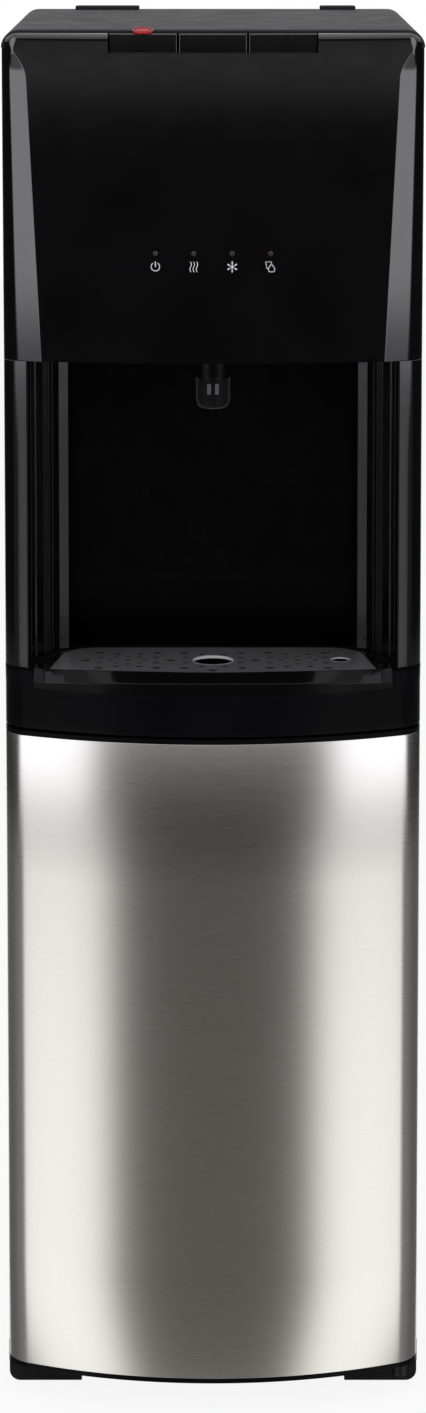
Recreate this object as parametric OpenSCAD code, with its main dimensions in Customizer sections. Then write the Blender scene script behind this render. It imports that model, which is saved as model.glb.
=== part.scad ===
// Floor-standing water dispenser that is loaded with a bottle from below.
// Millimetres, +Z up, the front faces -Y, the origin is on the floor under the middle of the box.

/* [Cabinet] */
// Width over the side panels
body_w = 310; // [290:1:350]
// Depth from the middle of the door to the back edge of the top cover
body_d = 361; // [350:1:400]
// Height of the flat top cover
body_h = 1033; // [1010:1:1080]
// Plan radius of the bowed door front
front_bow_r = 350; // [300:5:500]
// Plan radius of the cabinet's front corners
corner_r = 25; // [20:1:30]
// Thickness of the moulded plastic walls
wall = 2.6; // [2:0.1:3]
// Thickness of the painted steel sheets
sheet = 0.9; // [0.7:0.1:1.2]
// How far behind the corner's centre the side panels start
panel_setback = 13.4; // [11:0.1:18]
// Visible joint between two outer pieces
seam = 0.4; // [0.2:0.1:0.6]
// Distance of the rear panel in front of the cabinet's back edge
rear_recess = 20.5; // [18:0.5:30]

/* [Base] */
// Height of the base's top over the floor
base_h = 19.5; // [16:0.5:24]
// Free height under the base's skirt
base_clear = 6; // [4:0.5:8]
// Rise of the corner ears over the floor
ear_h = 27; // [25:1:35]
// Thickness of a corner ear outside the side panel
ear_t = 1.3; // [1:0.1:2]
// Length of a corner foot along the front
foot_w = 55; // [45:1:70]
// Length of a corner foot along the side
foot_d = 50; // [45:1:60]
// Thickness of the rubber foot pads
pad_t = 2; // [1.5:0.5:3]

/* [Door] */
// Height of the door's lower edge
door_z0 = 21; // [21:0.5:24]
// Height of the door's upper edge
door_z1 = 512.5; // [500:0.5:530]
// Thickness of the stainless steel skin
skin_t = 0.8; // [0.6:0.1:1.2]
// Height of the plastic end caps of the door
cap_h = 3.5; // [3:0.1:5]
// Gap over the door
door_gap = 1.5; // [1:0.1:2.5]
// Thickness of the flat inner panel of the door
liner_t = 2.5; // [2:0.1:4]
// Diameter of the hinge pins
pin_d = 6; // [5:0.5:8]
// Radial running clearance of the hinge pins
pin_fit = 0.05; // [0.02:0.01:0.1]
// Distance of the hinge axis from the side of the cabinet
hinge_inset = 12; // [11:0.5:14]

/* [Head] */
// How far the fascia lies behind the middle of the door
head_setback = 12.5; // [10:0.5:20]
// Plan radius of the bowed fascia
head_bow_r = 760; // [600:10:1200]
// Width of the slanted flanks beside the fascia, corner included
flank_w = 27.3; // [24:0.1:34]
// Angle of the slanted flanks
flank_angle = 25; // [20:1:32]
// Plan radius where a flank meets the side
head_corner_r = 14; // [10:0.5:16]
// Radius of the long top edges
top_edge_r = 13; // [8:0.5:16]
// Height of the fascia under the ledge
fascia_h = 241; // [225:1:260]
// Depth of the top ledge that holds the buttons
ledge_d = 20; // [17:0.5:26]
// How far the ledge lies below the top cover
ledge_drop = 2; // [1:0.1:3]
// Bevel along the front of the ledge
ledge_bevel = 3.4; // [2:0.1:5]
// Height of the two raised pads at the back of the top cover
tab_rise = 3; // [2:0.5:5]

/* [Buttons] */
// Width of a push button
button_w = 49.5; // [40:0.5:55]
// Gap between two buttons
button_gap = 1.4; // [1:0.1:2]
// Visible height of a button's front
button_face_h = 14; // [10:0.5:18]
// Travel of a button
button_travel = 4; // [2:0.5:5]
// Diameter of a button's stem
stem_d = 5; // [4:0.5:6]
// Diameter of the child lock
lock_d = 15; // [12:0.5:18]
// Travel of the child lock
lock_travel = 2.5; // [1.5:0.5:3]
// Diameter of the indicator lenses
lens_d = 4; // [3:0.5:5]
// Distance between two indicator lenses
lens_pitch = 28; // [24:0.5:32]
// Height of the indicator lenses over the fascia's lower edge
lens_rise = 81; // [70:1:110]

/* [Cup niche] */
// Width of the niche at its front
niche_w = 274; // [260:1:280]
// Width of the niche's back wall
niche_back_w = 217; // [190:1:230]
// Depth of the niche behind the middle of the fascia
niche_d = 99; // [97:1:112]
// Height of the niche's floor
niche_z0 = 560; // [550:1:575]
// Height of the niche's ceiling over the fascia's lower edge
ceiling_rise = 6; // [4:1:12]
// Distance of the nozzle behind the middle of the fascia
nozzle_y = 45.2; // [40:0.2:52]
// Diameter of the nozzle
nozzle_d = 25.2; // [20:0.2:30]
// Diameter of the nozzle's collar
collar_d = 40; // [34:1:50]
// Length of the nozzle under the niche's ceiling
nozzle_len = 45; // [32:1:60]
// Diameter of the nozzle's bore
outlet_d = 12; // [8:0.5:14]

/* [Drip tray] */
// Width of the tray's front lip
lip_w = 267; // [255:1:272]
// Height of the tray's front lip
lip_h = 17; // [15:0.5:20]
// How far the tray's lip lies behind the door's bow
lip_setback = 0.6; // [0.4:0.1:2]
// Slope of the lip's top towards the front
lip_slope = 18; // [5:1:24]
// Depth of the tray below the niche's floor
tray_h = 29; // [24:1:32]
// Half the width of the grille at its front
grille_front_x = 122; // [112:0.5:124]
// Half the width of the grille where its rear corners start
grille_rear_x = 115; // [106:0.5:118]
// Depth of the grille from the tray's front lip
grille_d = 85; // [80:1:90]
// Radius of the grille's rear corners
grille_r = 29.5; // [20:0.5:34]
// Width of the lip in front of the grille
grille_inset = 4; // [3:0.5:6]
// Thickness of the grille
grille_t = 2.4; // [2:0.1:3]
// Clearance around the grille
grille_gap = 0.4; // [0.2:0.1:0.6]
// Clearance around the tray
tray_gap = 0.5; // [0.3:0.1:1]
// Thickness of the tray's walls
tray_t = 2.2; // [1.8:0.1:3]
// Width of the step that carries the grille
tray_step = 2.5; // [2:0.1:4]
// Diameter of the drain hole under the nozzle
drain_hole_d = 31; // [24:0.5:34]
// Diameter of the finger hole
finger_hole_d = 15; // [12:0.5:16]
// Distance between the hole flowers
flower_pitch = 63.6; // [62:0.2:66]
// Radii of the three rings of a hole flower
ring_r = [12.8, 22.5, 33.5];
// Diameters of the small, middle and large holes
hole_d = [3.4, 4.6, 6.2];

/* [Inside] */
// Thickness of the bottle bay's liner
bay_t = 2.5; // [2:0.1:3]
// Height of the steel deck over the bottle bay
deck_z = 505; // [495:1:507]
// Thickness of the steel decks
deck_t = 1.5; // [1:0.1:2]
// Height of the tank shelf over the niche's ceiling
shelf_rise = 5; // [4:1:10]
// Diameter of the cold tank
cold_d = 124; // [100:1:130]
// Height of the cold tank
cold_h = 158; // [120:1:160]
// Diameter of the hot tank
hot_d = 80; // [60:1:86]
// Height of the hot tank
hot_h = 138; // [100:1:150]
// Thickness of the foam around the tanks
foam_t = 13; // [8:0.5:13]
// Diameter of the compressor
compressor_d = 124; // [100:1:130]
// Height of the compressor over its feet
compressor_h = 150; // [120:1:170]
// Outer diameter of the copper lines
line_d = 6.4; // [5:0.1:8]
// Outer diameter of the silicone hoses
hose_d = 11; // [8:0.5:12]
// Number of straight runs of the condenser tube
condenser_runs = 13; // [7:2:15]
// Distance between two runs of the condenser tube
condenser_pitch = 48; // [40:1:52]
// Diameter of the condenser tube
condenser_d = 5; // [4:0.5:6]
// Number of wires across the condenser
wire_count = 22; // [12:1:30]
// Diameter of a condenser wire
wire_d = 1.6; // [1:0.1:2]
// Diameter of the bottle probe
probe_d = 16; // [12:0.5:20]
// Diameter of the cap on the bottle probe
probe_cap_d = 54; // [40:1:58]

/* [Hidden] */

$fn = 96;
eps = 0.02;
knuckle = 1.06;
gloss_black = [0.05, 0.05, 0.055];
satin_black = [0.13, 0.13, 0.135];
steel_grey = [0.72, 0.71, 0.69];
zinc = [0.62, 0.64, 0.66];
copper = [0.72, 0.42, 0.25];
foam_white = [0.92, 0.92, 0.9];

half_w = body_w / 2;
front_y = -body_d / 2;
back_y = body_d / 2;
bow_y = front_y + front_bow_r;
corner_x = half_w - corner_r;
corner_y = bow_y - sqrt(pow(front_bow_r - corner_r, 2) - pow(corner_x, 2));
panel_y = corner_y + panel_setback;
shell_back_y = panel_y - seam;
rear_y = back_y - rear_recess;
inner_x = half_w - sheet;
side_z0 = base_h + 0.3;

head_y = front_y + head_setback;
head_bow_y = head_y + head_bow_r;
flank_x = half_w - flank_w;
flank_y = head_bow_y - sqrt(pow(head_bow_r, 2) - pow(flank_x, 2));
head_corner_x = half_w - head_corner_r;
head_corner_y = flank_y
    + ((head_corner_x - flank_x) * sin(flank_angle) + head_corner_r) / cos(flank_angle);
ledge_z = body_h - ledge_drop;
fascia_z0 = ledge_z - fascia_h;
lens_z = fascia_z0 + lens_rise;
niche_z1 = fascia_z0 + ceiling_rise;
nozzle_z = niche_z1 - nozzle_len;
shelf_z = niche_z1 + shelf_rise;
ledge_y = head_y + ledge_d;
cover_skirt_z = body_h - top_edge_r;

hinge_x = half_w - hinge_inset;
hinge_y = corner_y;
door_back_y = panel_y - 1.4;
door_liner_y = corner_y + 4;
pin_len = 26;
boss_r = pin_d / 2 + 3.5;

group_w = 3 * button_w + 2 * button_gap;
button_pitch = button_w + button_gap;
button_z0 = ledge_z - button_face_h;
button_recess = wall + 0.3;
button_top_t = 2;
carrier_z = button_z0 - button_travel - 18;
carrier_t = 2.5;
button_y = (head_y + button_recess + ledge_y) / 2;
lock_y = head_y + button_recess + lock_d * 0.35;
lock_pin_d = 2.4;
lock_pin_x = lock_d / 2 - lock_pin_d / 2 - 0.5;
lock_fit = 0.15;

niche_y = head_y + niche_d;
niche_half = niche_w / 2;
niche_back_half = niche_back_w / 2;
pillar_return = 12;
fin_t = 1.2;
nozzle_c = head_y + nozzle_y;
nozzle_spigot = 19;
grille_rear_y = head_y + grille_inset + grille_d;
grille_z1 = niche_z0 - 0.5;
lip_z0 = niche_z0 - lip_h;
tray_z0 = niche_z0 - tray_h;
shell_z0 = door_z1 + door_gap;
shell_back = niche_y - wall;
lip_back_y = head_corner_y - 4;
lip_roof = 9;

bay_half = inner_x - 0.6;
bay_front_y = panel_y + 5;
cold_x = 62;
cold_y = rear_y - 115;
hot_x = -90;
hot_y = rear_y - 98;
comp_x = -62;
comp_y = rear_y - 112;
grommet_h = 10;
probe_x = bay_half - bay_t - probe_cap_d / 2 - 5;
probe_y = rear_y - bay_t - probe_cap_d / 2 - 6;
probe_cap_z = deck_z - 43;
condenser_z0 = 140;
condenser_half = half_w - 42;
condenser_y = rear_y + 12;
switch_z = shelf_z + 104;
board_y = head_y + 16;
power_x = -65;
line_x = [22, 45];
power_z = shelf_z - 66;
pump_y = probe_y - 42;
pump_z = deck_z + deck_t;
valve_top = niche_z1 + wall + 34;
hot_switch_x = 37 - half_w;
cold_switch_x = hot_switch_x + 28;
drain_x = 27 - half_w;
drain_d = 12;
drain_z = deck_z + 70;
drier_z = deck_z + 55;
drier_h = 80;
hose_z = shelf_z - 31;
line_top_z = shelf_z - 21;
vent_x = 60;
vent_z = shelf_z - 111;
vent_pitch = 12;
vent_slot_w = 10;
vent_slot_h = 4;
comp_foot_x = 72;
comp_foot_y = 33;
comp_plate_x = 86;
comp_plate_y = 44;
comp_box_w = 48;
comp_box_h = 46;
comp_box_d = 22;
pump_x = 100;
pump_w = 56;
pump_l = 48;
pump_h = 40;
pump_head_d = 36;
pump_head_h = 16;
clip_z = 300;
clip_h = 18;
clip_w = 28;
magnet_z = 260;
magnet_h = 40;
power_w = 90;
power_h = 85;
power_d = 42;
gland_d = 14;
switch_w = 13.8;
switch_h = 21.8;
housing_d = 18;
board_w = 144;
board_h = 50;
board_t = 1.6;
valve_w = 24;
valve_pitch = 46;
screw_d = 7;

module door_plan(inset = 0, rear = back_y) {
    reach = 1.4;
    intersection() {
        translate([0, bow_y])
            circle(front_bow_r - inset, $fn = 240);
        polygon([[0, bow_y],
            [-corner_x * reach, bow_y - (bow_y - corner_y) * reach],
            [corner_x * reach, bow_y - (bow_y - corner_y) * reach]]);
    }
    for (side = [-1, 1])
        translate([side * corner_x, corner_y])
            circle(corner_r - inset);
    translate([-half_w + inset, corner_y])
        square([body_w - 2 * inset, rear - corner_y]);
}

module head_plan(inset = 0, rear = back_y) {
    tan_x = head_corner_x + (head_corner_r - inset) * sin(flank_angle);
    tan_y = head_corner_y - (head_corner_r - inset) * cos(flank_angle);
    run = (tan_y - head_y) / sin(flank_angle) + 5;
    far_x = tan_x - run * cos(flank_angle);
    far_y = tan_y - run * sin(flank_angle);
    intersection() {
        translate([0, head_bow_y])
            circle(head_bow_r - inset, $fn = 360);
        union() {
            polygon([[-far_x, far_y], [far_x, far_y], [tan_x, tan_y],
                [head_corner_x, head_corner_y], [half_w - inset, head_corner_y],
                [half_w - inset, rear], [-half_w + inset, rear],
                [-half_w + inset, head_corner_y], [-head_corner_x, head_corner_y],
                [-tan_x, tan_y]]);
            for (side = [-1, 1])
                translate([side * head_corner_x, head_corner_y])
                    circle(head_corner_r - inset);
        }
    }
}

// A plan outline between two heights
module slab(z0, z1) {
    translate([0, 0, z0])
        linear_extrude(z1 - z0)
            children();
}

// A block from its lowest to its highest corner
module block(low, high) {
    translate(low)
        cube(high - low);
}

// The rounded front view of the head, run through the whole depth
module top_tunnel(inset = 0) {
    translate([0, back_y + 1, 0])
        rotate([90, 0, 0])
            linear_extrude(body_d + 2) {
                translate([-half_w + inset, 0])
                    square([body_w - 2 * inset, body_h - top_edge_r]);
                translate([-half_w + top_edge_r, 0])
                    square([body_w - 2 * top_edge_r, body_h - inset]);
                for (side = [-1, 1])
                    translate([side * (half_w - top_edge_r), body_h - top_edge_r])
                        circle(top_edge_r - inset);
            }
}

module head_solid(inset, z0, z1, rear = back_y) {
    intersection() {
        slab(z0, z1) head_plan(inset, rear);
        top_tunnel(inset);
    }
}

// Round bar from one point to another
module bar(from, to, d) {
    run = to - from;
    len = norm(run);
    translate(from)
        rotate([0, acos(run[2] / len), atan2(run[1], run[0])])
            cylinder(d = d, h = len, $fn = 32);
}

// Pipe through a list of points with round knuckles
module pipe(points, d) {
    for (i = [0 : len(points) - 2])
        bar(points[i], points[i + 1], d);
    for (i = [1 : 1 : len(points) - 2])
        translate(points[i])
            sphere(d = d * knuckle, $fn = 32);
}

// Plan outline of the grille, grown or shrunk by a margin
module grille_plan(grow = 0) {
    corner_cx = grille_rear_x - grille_r;
    corner_cy = grille_rear_y - grille_r;
    intersection() {
        head_plan(grille_inset - grow, grille_rear_y + grow);
        union() {
            polygon([[-grille_front_x - grow, head_y - 5], [grille_front_x + grow, head_y - 5],
                [grille_rear_x + grow, corner_cy], [corner_cx, corner_cy],
                [corner_cx, grille_rear_y + grow], [-corner_cx, grille_rear_y + grow],
                [-corner_cx, corner_cy], [-grille_rear_x - grow, corner_cy]]);
            for (side = [-1, 1])
                translate([side * corner_cx, corner_cy])
                    circle(grille_r + grow);
        }
    }
}

// How far the bowed fascia falls back at a distance from its middle
function bow_drop(x) = head_bow_r - sqrt(pow(head_bow_r, 2) - x * x);

module niche_plan(grow = 0) {
    translate([-niche_half - grow, front_y])
        square([niche_w + 2 * grow, niche_y + grow - front_y]);
}

module base() color(gloss_black) {
    plate_front = corner_y - 2;
    hollow = 3;
    difference() {
        union() {
            block([-half_w, plate_front, base_clear], [half_w, back_y, base_h]);
            for (side = [-1, 1], rear = [0, 1]) {
                foot_y = rear == 0 ? plate_front : back_y - foot_d;
                foot_x = side > 0 ? half_w - foot_w : -half_w;
                block([foot_x, foot_y, pad_t], [foot_x + foot_w, foot_y + foot_d, base_clear + 1]);
            }
            for (side = [-1, 1]) {
                ear_x = side > 0 ? half_w + 0.1 : -half_w - ear_t;
                block([ear_x, panel_y + 3, base_clear],
                    [ear_x + ear_t - 0.1, panel_y + foot_d, ear_h]);
                block([side > 0 ? half_w - 1 : -half_w - ear_t, panel_y + 3, base_clear],
                    [side > 0 ? half_w + ear_t : -half_w + 1, panel_y + foot_d, base_h]);
            }
        }
        block([-half_w + hollow + foot_w, plate_front + hollow, base_clear - 1],
            [half_w - hollow - foot_w, back_y - hollow, base_h - 4]);
        translate([hinge_x, hinge_y, base_clear + 2])
            cylinder(d = pin_d + 2 * pin_fit, h = base_h);
        for (x = [-half_w + foot_w / 2, half_w - foot_w / 2],
            y = [plate_front + foot_d / 2, back_y - foot_d / 2])
            translate([x, y, 0])
                cylinder(d = 8, h = base_clear + 4);
    }
}

module foot_pads() color([0.1, 0.1, 0.1]) {
    for (x = [-half_w + foot_w / 2, half_w - foot_w / 2],
        y = [corner_y - 2 + foot_d / 2, back_y - foot_d / 2]) {
        translate([x, y, 0])
            cylinder(d = 34, h = pad_t);
        translate([x, y, 0])
            cylinder(d = 8 - 2 * pin_fit, h = base_clear + 3);
    }
}

module side_panel(side) {
    x0 = side > 0 ? inner_x : -half_w;
    flange_x = side > 0 ? inner_x - 10 : -inner_x;
    block([x0, panel_y, side_z0], [x0 + sheet, back_y - 0.5, cover_skirt_z - seam]);
    block([flange_x, rear_y + sheet + seam, side_z0],
        [flange_x + 10, rear_y + 2 * sheet + seam, condenser_z0 - 20]);
}

module left_side_panel() color(satin_black) side_panel(-1);

module right_side_panel() color(satin_black) side_panel(1);

module rear_panel() color(satin_black) difference() {
    block([-inner_x + 0.1, rear_y, side_z0], [inner_x - 0.1, rear_y + sheet, cover_skirt_z - seam]);
    for (x = [hot_switch_x, cold_switch_x])
        block([x - switch_w / 2 - 0.1, rear_y - 1, switch_z - switch_h / 2 - 0.1],
            [x + switch_w / 2 + 0.1, rear_y + 2, switch_z + switch_h / 2 + 0.1]);
    translate([drain_x, rear_y - 1, drain_z])
        rotate([-90, 0, 0])
            cylinder(d = drain_d + 0.4, h = 4);
    for (p = [[line_x[0], deck_z + 115], [line_x[1], deck_z + 25]])
        translate([p[0], rear_y - 1, p[1]])
            rotate([-90, 0, 0])
                cylinder(d = line_d + 1, h = 4);
    translate([power_x, rear_y - 1, power_z])
        rotate([-90, 0, 0])
            cylinder(d = gland_d + 0.4, h = 4);
    for (row = [0 : 5], column = [-2 : 2]) {
        x = vent_x + column * (vent_slot_w + vent_slot_h);
        block([x - vent_slot_w / 2, rear_y - 1, vent_z + row * vent_pitch],
            [x + vent_slot_w / 2, rear_y + 2, vent_z + row * vent_pitch + vent_slot_h]);
    }
}

module top_cover() color(satin_black) {
    pad = [[-112, 52], [87, 29]];
    difference() {
        intersection() {
            head_solid(0, cover_skirt_z, body_h + 1);
            block([-half_w, ledge_y + seam, 0], [half_w, back_y, body_h + 1]);
        }
        head_solid(wall, cover_skirt_z - 1, body_h, rear_y - 5);
        block([-half_w + wall, rear_y + 2, cover_skirt_z - 1],
            [half_w - wall, back_y - wall, body_h - wall]);
        block([-half_w - 1, front_y, 0], [half_w + 1, shell_back_y + seam, cover_skirt_z + 0.01]);
        block([-group_w / 2 - 2, ledge_y, cover_skirt_z - 1],
            [group_w / 2 + 2, ledge_y + wall + 1, ledge_z - 2]);
    }
    for (p = pad)
        block([p[0], back_y - 14, body_h - eps], [p[0] + p[1], back_y, body_h + tab_rise]);
}

module ledge_bevel_cut() {
    translate([0, head_bow_y, ledge_z - ledge_bevel])
        difference() {
            cylinder(r = head_bow_r + 30, h = ledge_bevel + 1, $fn = 360);
            cylinder(r1 = head_bow_r + 0.01, r2 = head_bow_r - ledge_bevel, h = ledge_bevel,
                $fn = 360);
            translate([0, 0, ledge_bevel - 0.01])
                cylinder(r = head_bow_r - ledge_bevel, h = 2, $fn = 360);
        }
}

module front_fascia() color(gloss_black) {
    boss_x = 62;
    difference() {
        head_solid(0, fascia_z0, ledge_z, shell_back_y);
        head_solid(wall, fascia_z0 - 1, ledge_z - wall, back_y);
        block([-half_w - 1, ledge_y, cover_skirt_z - 0.01], [half_w + 1, back_y, body_h]);
        block([-group_w / 2 - 0.8, head_y - 5, button_z0], [group_w / 2 + 0.8, ledge_y + 1, body_h]);
        ledge_bevel_cut();
        for (i = [-1.5 : 1 : 1.5])
            translate([i * lens_pitch, head_y - 1, lens_z])
                rotate([-90, 0, 0])
                    cylinder(d = lens_d + 0.1, h = 12);
    }
    for (x = [-boss_x, boss_x], z = [lens_z - 18, lens_z + 18])
        translate([x, board_y, z])
            rotate([90, 0, 0])
                cylinder(d = 6, h = board_y - head_y - wall - 2.4);
}

module pillar(side) {
    difference() {
        slab(niche_z0 + seam, fascia_z0 - seam) difference() {
            head_plan(0, shell_back_y);
            head_plan(wall, back_y);
            square([2 * niche_half, body_d * 2], center = true);
        }
        block([side > 0 ? -half_w - 1 : 0, front_y, 0], [side > 0 ? 0 : half_w + 1, back_y, body_h]);
    }
    x0 = side > 0 ? niche_half : -niche_half - wall;
    block([x0, lip_back_y, niche_z0 + seam],
        [x0 + wall, lip_back_y + pillar_return, fascia_z0 - seam]);
}

module left_pillar() color(gloss_black) pillar(-1);

module right_pillar() color(gloss_black) pillar(1);

module niche_liner() color(gloss_black) difference() {
    slab(niche_z0 + seam, niche_z1 + wall) difference() {
        intersection() {
            niche_plan(wall + 0.01);
            translate([-half_w, lip_back_y + pillar_return + 1])
                square([body_w, body_d]);
        }
    }
    slab(niche_z0 - 1, niche_z1) niche_plan(0);
    translate([0, nozzle_c, niche_z1 - 1])
        cylinder(d = outlet_d + 4.1, h = wall + 2);
}

// The stepped inner side of the niche, as one bent wall
module fin_trim(side) {
    y0 = lip_back_y + pillar_return + 2;
    run = niche_y - seam - y0;
    step_in = niche_half - niche_back_half;
    shares = [[0.05, 0], [0.14, 0.13], [0.18, 0.13], [0.365, 0.35], [0.43, 0.35], [0.48, 0.44],
        [0.58, 0.44], [0.72, 0.63], [0.985, 0.7], [1, 1]];
    last = len(shares) - 1;
    face = [for (s = shares) [niche_half - step_in * s[0], y0 + run * s[1]]];
    back = [for (i = [last : -1 : 0]) [face[i][0] + fin_t, min(face[i][1] + fin_t, y0 + run)]];
    mirror([side > 0 ? 0 : 1, 0, 0])
        slab(niche_z0 + seam, niche_z1 - seam)
            polygon(concat(face, back));
}

module left_fin_trim() color(satin_black) fin_trim(-1);

module right_fin_trim() color(satin_black) fin_trim(1);

module mid_shell() color(gloss_black) {
    web = 2.6;
    rear = shell_back;
    difference() {
        union() {
            slab(shell_z0, lip_z0) intersection() {
                door_plan(0, rear);
                translate([-half_w, front_y])
                    square([body_w, rear - front_y]);
            }
            slab(lip_z0 - eps, niche_z0) intersection() {
                head_plan(0, rear);
                translate([-half_w, front_y])
                    square([body_w, rear - front_y]);
            }
        }
        slab(shell_z0 - 1, tray_z0 - tray_gap - web) door_plan(wall, rear - wall);
        slab(tray_z0 - tray_gap, niche_z0 + 1) grille_plan(tray_t + tray_gap);
        block([-lip_w / 2 - tray_gap, front_y - 1, lip_z0 - tray_gap],
            [lip_w / 2 + tray_gap, lip_back_y + tray_gap, niche_z0 + 1]);
        block([-half_w - 1, shell_back_y, shell_z0 - 1], [-half_w + sheet + 0.1, rear + 1, niche_z0 + 1]);
        block([half_w - sheet - 0.1, shell_back_y, shell_z0 - 1], [half_w + 1, rear + 1, niche_z0 + 1]);
    }
    difference() {
        translate([hinge_x, hinge_y, shell_z0])
            cylinder(r = boss_r, h = tray_z0 - tray_gap - web - shell_z0 + eps);
        translate([hinge_x, hinge_y, shell_z0 - 1])
            cylinder(d = pin_d + 2 * pin_fit, h = pin_len);
    }
}

module drip_tray() color(gloss_black) difference() {
    union() {
        slab(tray_z0, niche_z0) grille_plan(tray_t);
        difference() {
            slab(lip_z0, niche_z0) intersection() {
                door_plan(lip_setback);
                translate([-lip_w / 2, front_y])
                    square([lip_w, lip_back_y - front_y]);
            }
            translate([-half_w, head_y + grille_inset + 1, niche_z0])
                rotate([180 + lip_slope, 0, 0])
                    translate([0, 0, -body_w])
                        cube([body_w, body_w, body_w]);
            slab(lip_z0 - 1, niche_z0 - lip_roof) difference() {
                intersection() {
                    door_plan(lip_setback + wall);
                    translate([-lip_w / 2 + wall, front_y])
                        square([lip_w - 2 * wall, lip_back_y - wall - front_y]);
                }
                grille_plan(tray_t);
            }
        }
    }
    slab(tray_z0 + tray_t, niche_z0 + 1) grille_plan(-tray_step);
    slab(grille_z1 - grille_t, niche_z0 + 1) grille_plan(0);
}

// One flower of holes: its middle, its small ring, its middle ring and its large corners
module hole_flower(full) {
    if (full) {
        circle(d = hole_d[1]);
        for (a = [0 : 45 : 315])
            rotate(a)
                translate([ring_r[0], 0])
                    circle(d = hole_d[0]);
    }
    for (a = [22.5 : 45 : 337.5])
        rotate(a)
            translate([ring_r[1], 0])
                circle(d = hole_d[1]);
    for (a = [50, 130, 230, 310])
        rotate(a)
            translate([ring_r[2], 0])
                circle(d = hole_d[2]);
}

module drip_grille() color([0.3, 0.3, 0.31]) slab(grille_z1 - grille_t, grille_z1) difference() {
    grille_plan(-grille_gap);
    translate([0, nozzle_c]) {
        circle(d = drain_hole_d);
        hole_flower(false);
        for (side = [-1, 1]) {
            translate([side * flower_pitch, 0])
                hole_flower(true);
            translate([side * flower_pitch / 2, 0])
                circle(d = hole_d[2]);
        }
        translate([-flower_pitch * 1.5, 0])
            circle(d = hole_d[2]);
        translate([flower_pitch * 1.5, 2])
            circle(d = finger_hole_d);
        translate([0, -ring_r[2]])
            circle(d = hole_d[2]);
    }
}

module nozzle_collar() color(gloss_black) translate([0, nozzle_c, 0]) difference() {
    rotate_extrude()
        polygon([[nozzle_d / 2 + pin_fit, niche_z1 - 22], [nozzle_d / 2 + 3, niche_z1 - 22],
            [collar_d / 2 - 4, niche_z1 - 8], [collar_d / 2, niche_z1],
            [nozzle_d / 2 + pin_fit, niche_z1]]);
}

module nozzle() color(gloss_black) translate([0, nozzle_c, 0]) difference() {
    union() {
        translate([0, 0, nozzle_z + 7])
            cylinder(d = nozzle_d, h = niche_z1 - nozzle_z - 7);
        translate([0, 0, nozzle_z])
            cylinder(d1 = nozzle_d - 9, d2 = nozzle_d, h = 7 + eps);
        translate([0, 0, niche_z1 - eps])
            cylinder(d = outlet_d + 4, h = wall + nozzle_spigot);
    }
    translate([0, 0, nozzle_z - 1])
        cylinder(d = outlet_d, h = niche_z1 - nozzle_z + 40);
}

module button(index) {
    x = index * button_pitch;
    lock_slot = index < 0;
    top_z = ledge_z;
    skirt_z = button_z0 - button_travel - 1;
    difference() {
        union() {
            difference() {
                intersection() {
                    slab(skirt_z, top_z) head_plan(button_recess);
                    block([x - button_w / 2, front_y, skirt_z],
                        [x + button_w / 2, ledge_y - seam, top_z]);
                }
                intersection() {
                    slab(skirt_z - 1, top_z - button_top_t) head_plan(button_recess + 2);
                    block([x - button_w / 2 + 2, front_y, skirt_z - 1],
                        [x + button_w / 2 - 2, ledge_y - seam - 2, top_z]);
                }
            }
            translate([x, button_y, carrier_z - 6])
                cylinder(d = stem_d, h = top_z - carrier_z + 5);
        }
        if (lock_slot)
            block([x - lock_pin_x - lock_pin_d / 2 - lock_fit, lock_y - lock_pin_d / 2 - lock_fit,
                top_z - button_top_t - 1],
                [x - lock_pin_x + lock_pin_d / 2 + lock_fit,
                lock_y + lock_travel + lock_pin_d / 2 + lock_fit, top_z + 1]);
    }
}

module hot_button() color(gloss_black) button(-1);

module room_button() color(gloss_black) button(0);

module cold_button() color(gloss_black) button(1);

module child_lock() color([0.75, 0.06, 0.08]) translate([-button_pitch, lock_y, ledge_z + 0.1]) {
    rotate_extrude()
        polygon([[0, 0], [lock_d / 2, 0], [lock_d / 2, 0.6], [lock_d / 2 - 2.5, 1.7], [0, 1.9]]);
    translate([-lock_pin_x, 0, -button_top_t - 0.6])
        cylinder(d = lock_pin_d, h = button_top_t + 0.6 + eps, $fn = 32);
}

module spring(index) {
    translate([index * button_pitch, button_y, carrier_z + carrier_t + 0.05])
        difference() {
            cylinder(d = stem_d + 4, h = ledge_z - button_top_t - carrier_z - carrier_t - 0.4);
            translate([0, 0, -1])
                cylinder(d = stem_d + 1.2, h = 60);
        }
}

module hot_spring() color(zinc) spring(-1);

module room_spring() color(zinc) spring(0);

module cold_spring() color(zinc) spring(1);

module button_carrier() color(satin_black) {
    rear = ledge_y + 12;
    half = group_w / 2 + 12;
    front = head_y + bow_drop(half) + wall + 1;
    difference() {
        block([-half, front, carrier_z], [half, rear, carrier_z + carrier_t]);
        for (i = [-1 : 1])
            translate([i * button_pitch, button_y, carrier_z - 1])
                cylinder(d = stem_d + 0.3, h = carrier_t + 2);
    }
    for (side = [-1, 1])
        block([side > 0 ? half - 4 : -half, rear - 4, carrier_z + carrier_t],
            [side > 0 ? half : -half + 4, rear, ledge_z - wall - 0.02]);
    block([-half, rear, carrier_z - 34], [half, rear + 2.5, carrier_z + carrier_t]);
}

module micro_switches() color([0.1, 0.1, 0.11]) {
    for (i = [-1 : 1])
        block([i * button_pitch - 10, button_y + 2, carrier_z - 28],
            [i * button_pitch + 10, ledge_y + 12, carrier_z - 14]);
}

module indicator_lenses() color([0.85, 0.9, 0.86]) {
    for (i = [-1.5 : 1 : 1.5]) {
        x = i * lens_pitch;
        bow = bow_drop(x);
        translate([x, head_y + bow + 0.3, lens_z])
            rotate([-90, 0, 0])
                cylinder(d = lens_d, h = board_y - head_y - bow - 0.3);
    }
}

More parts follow.
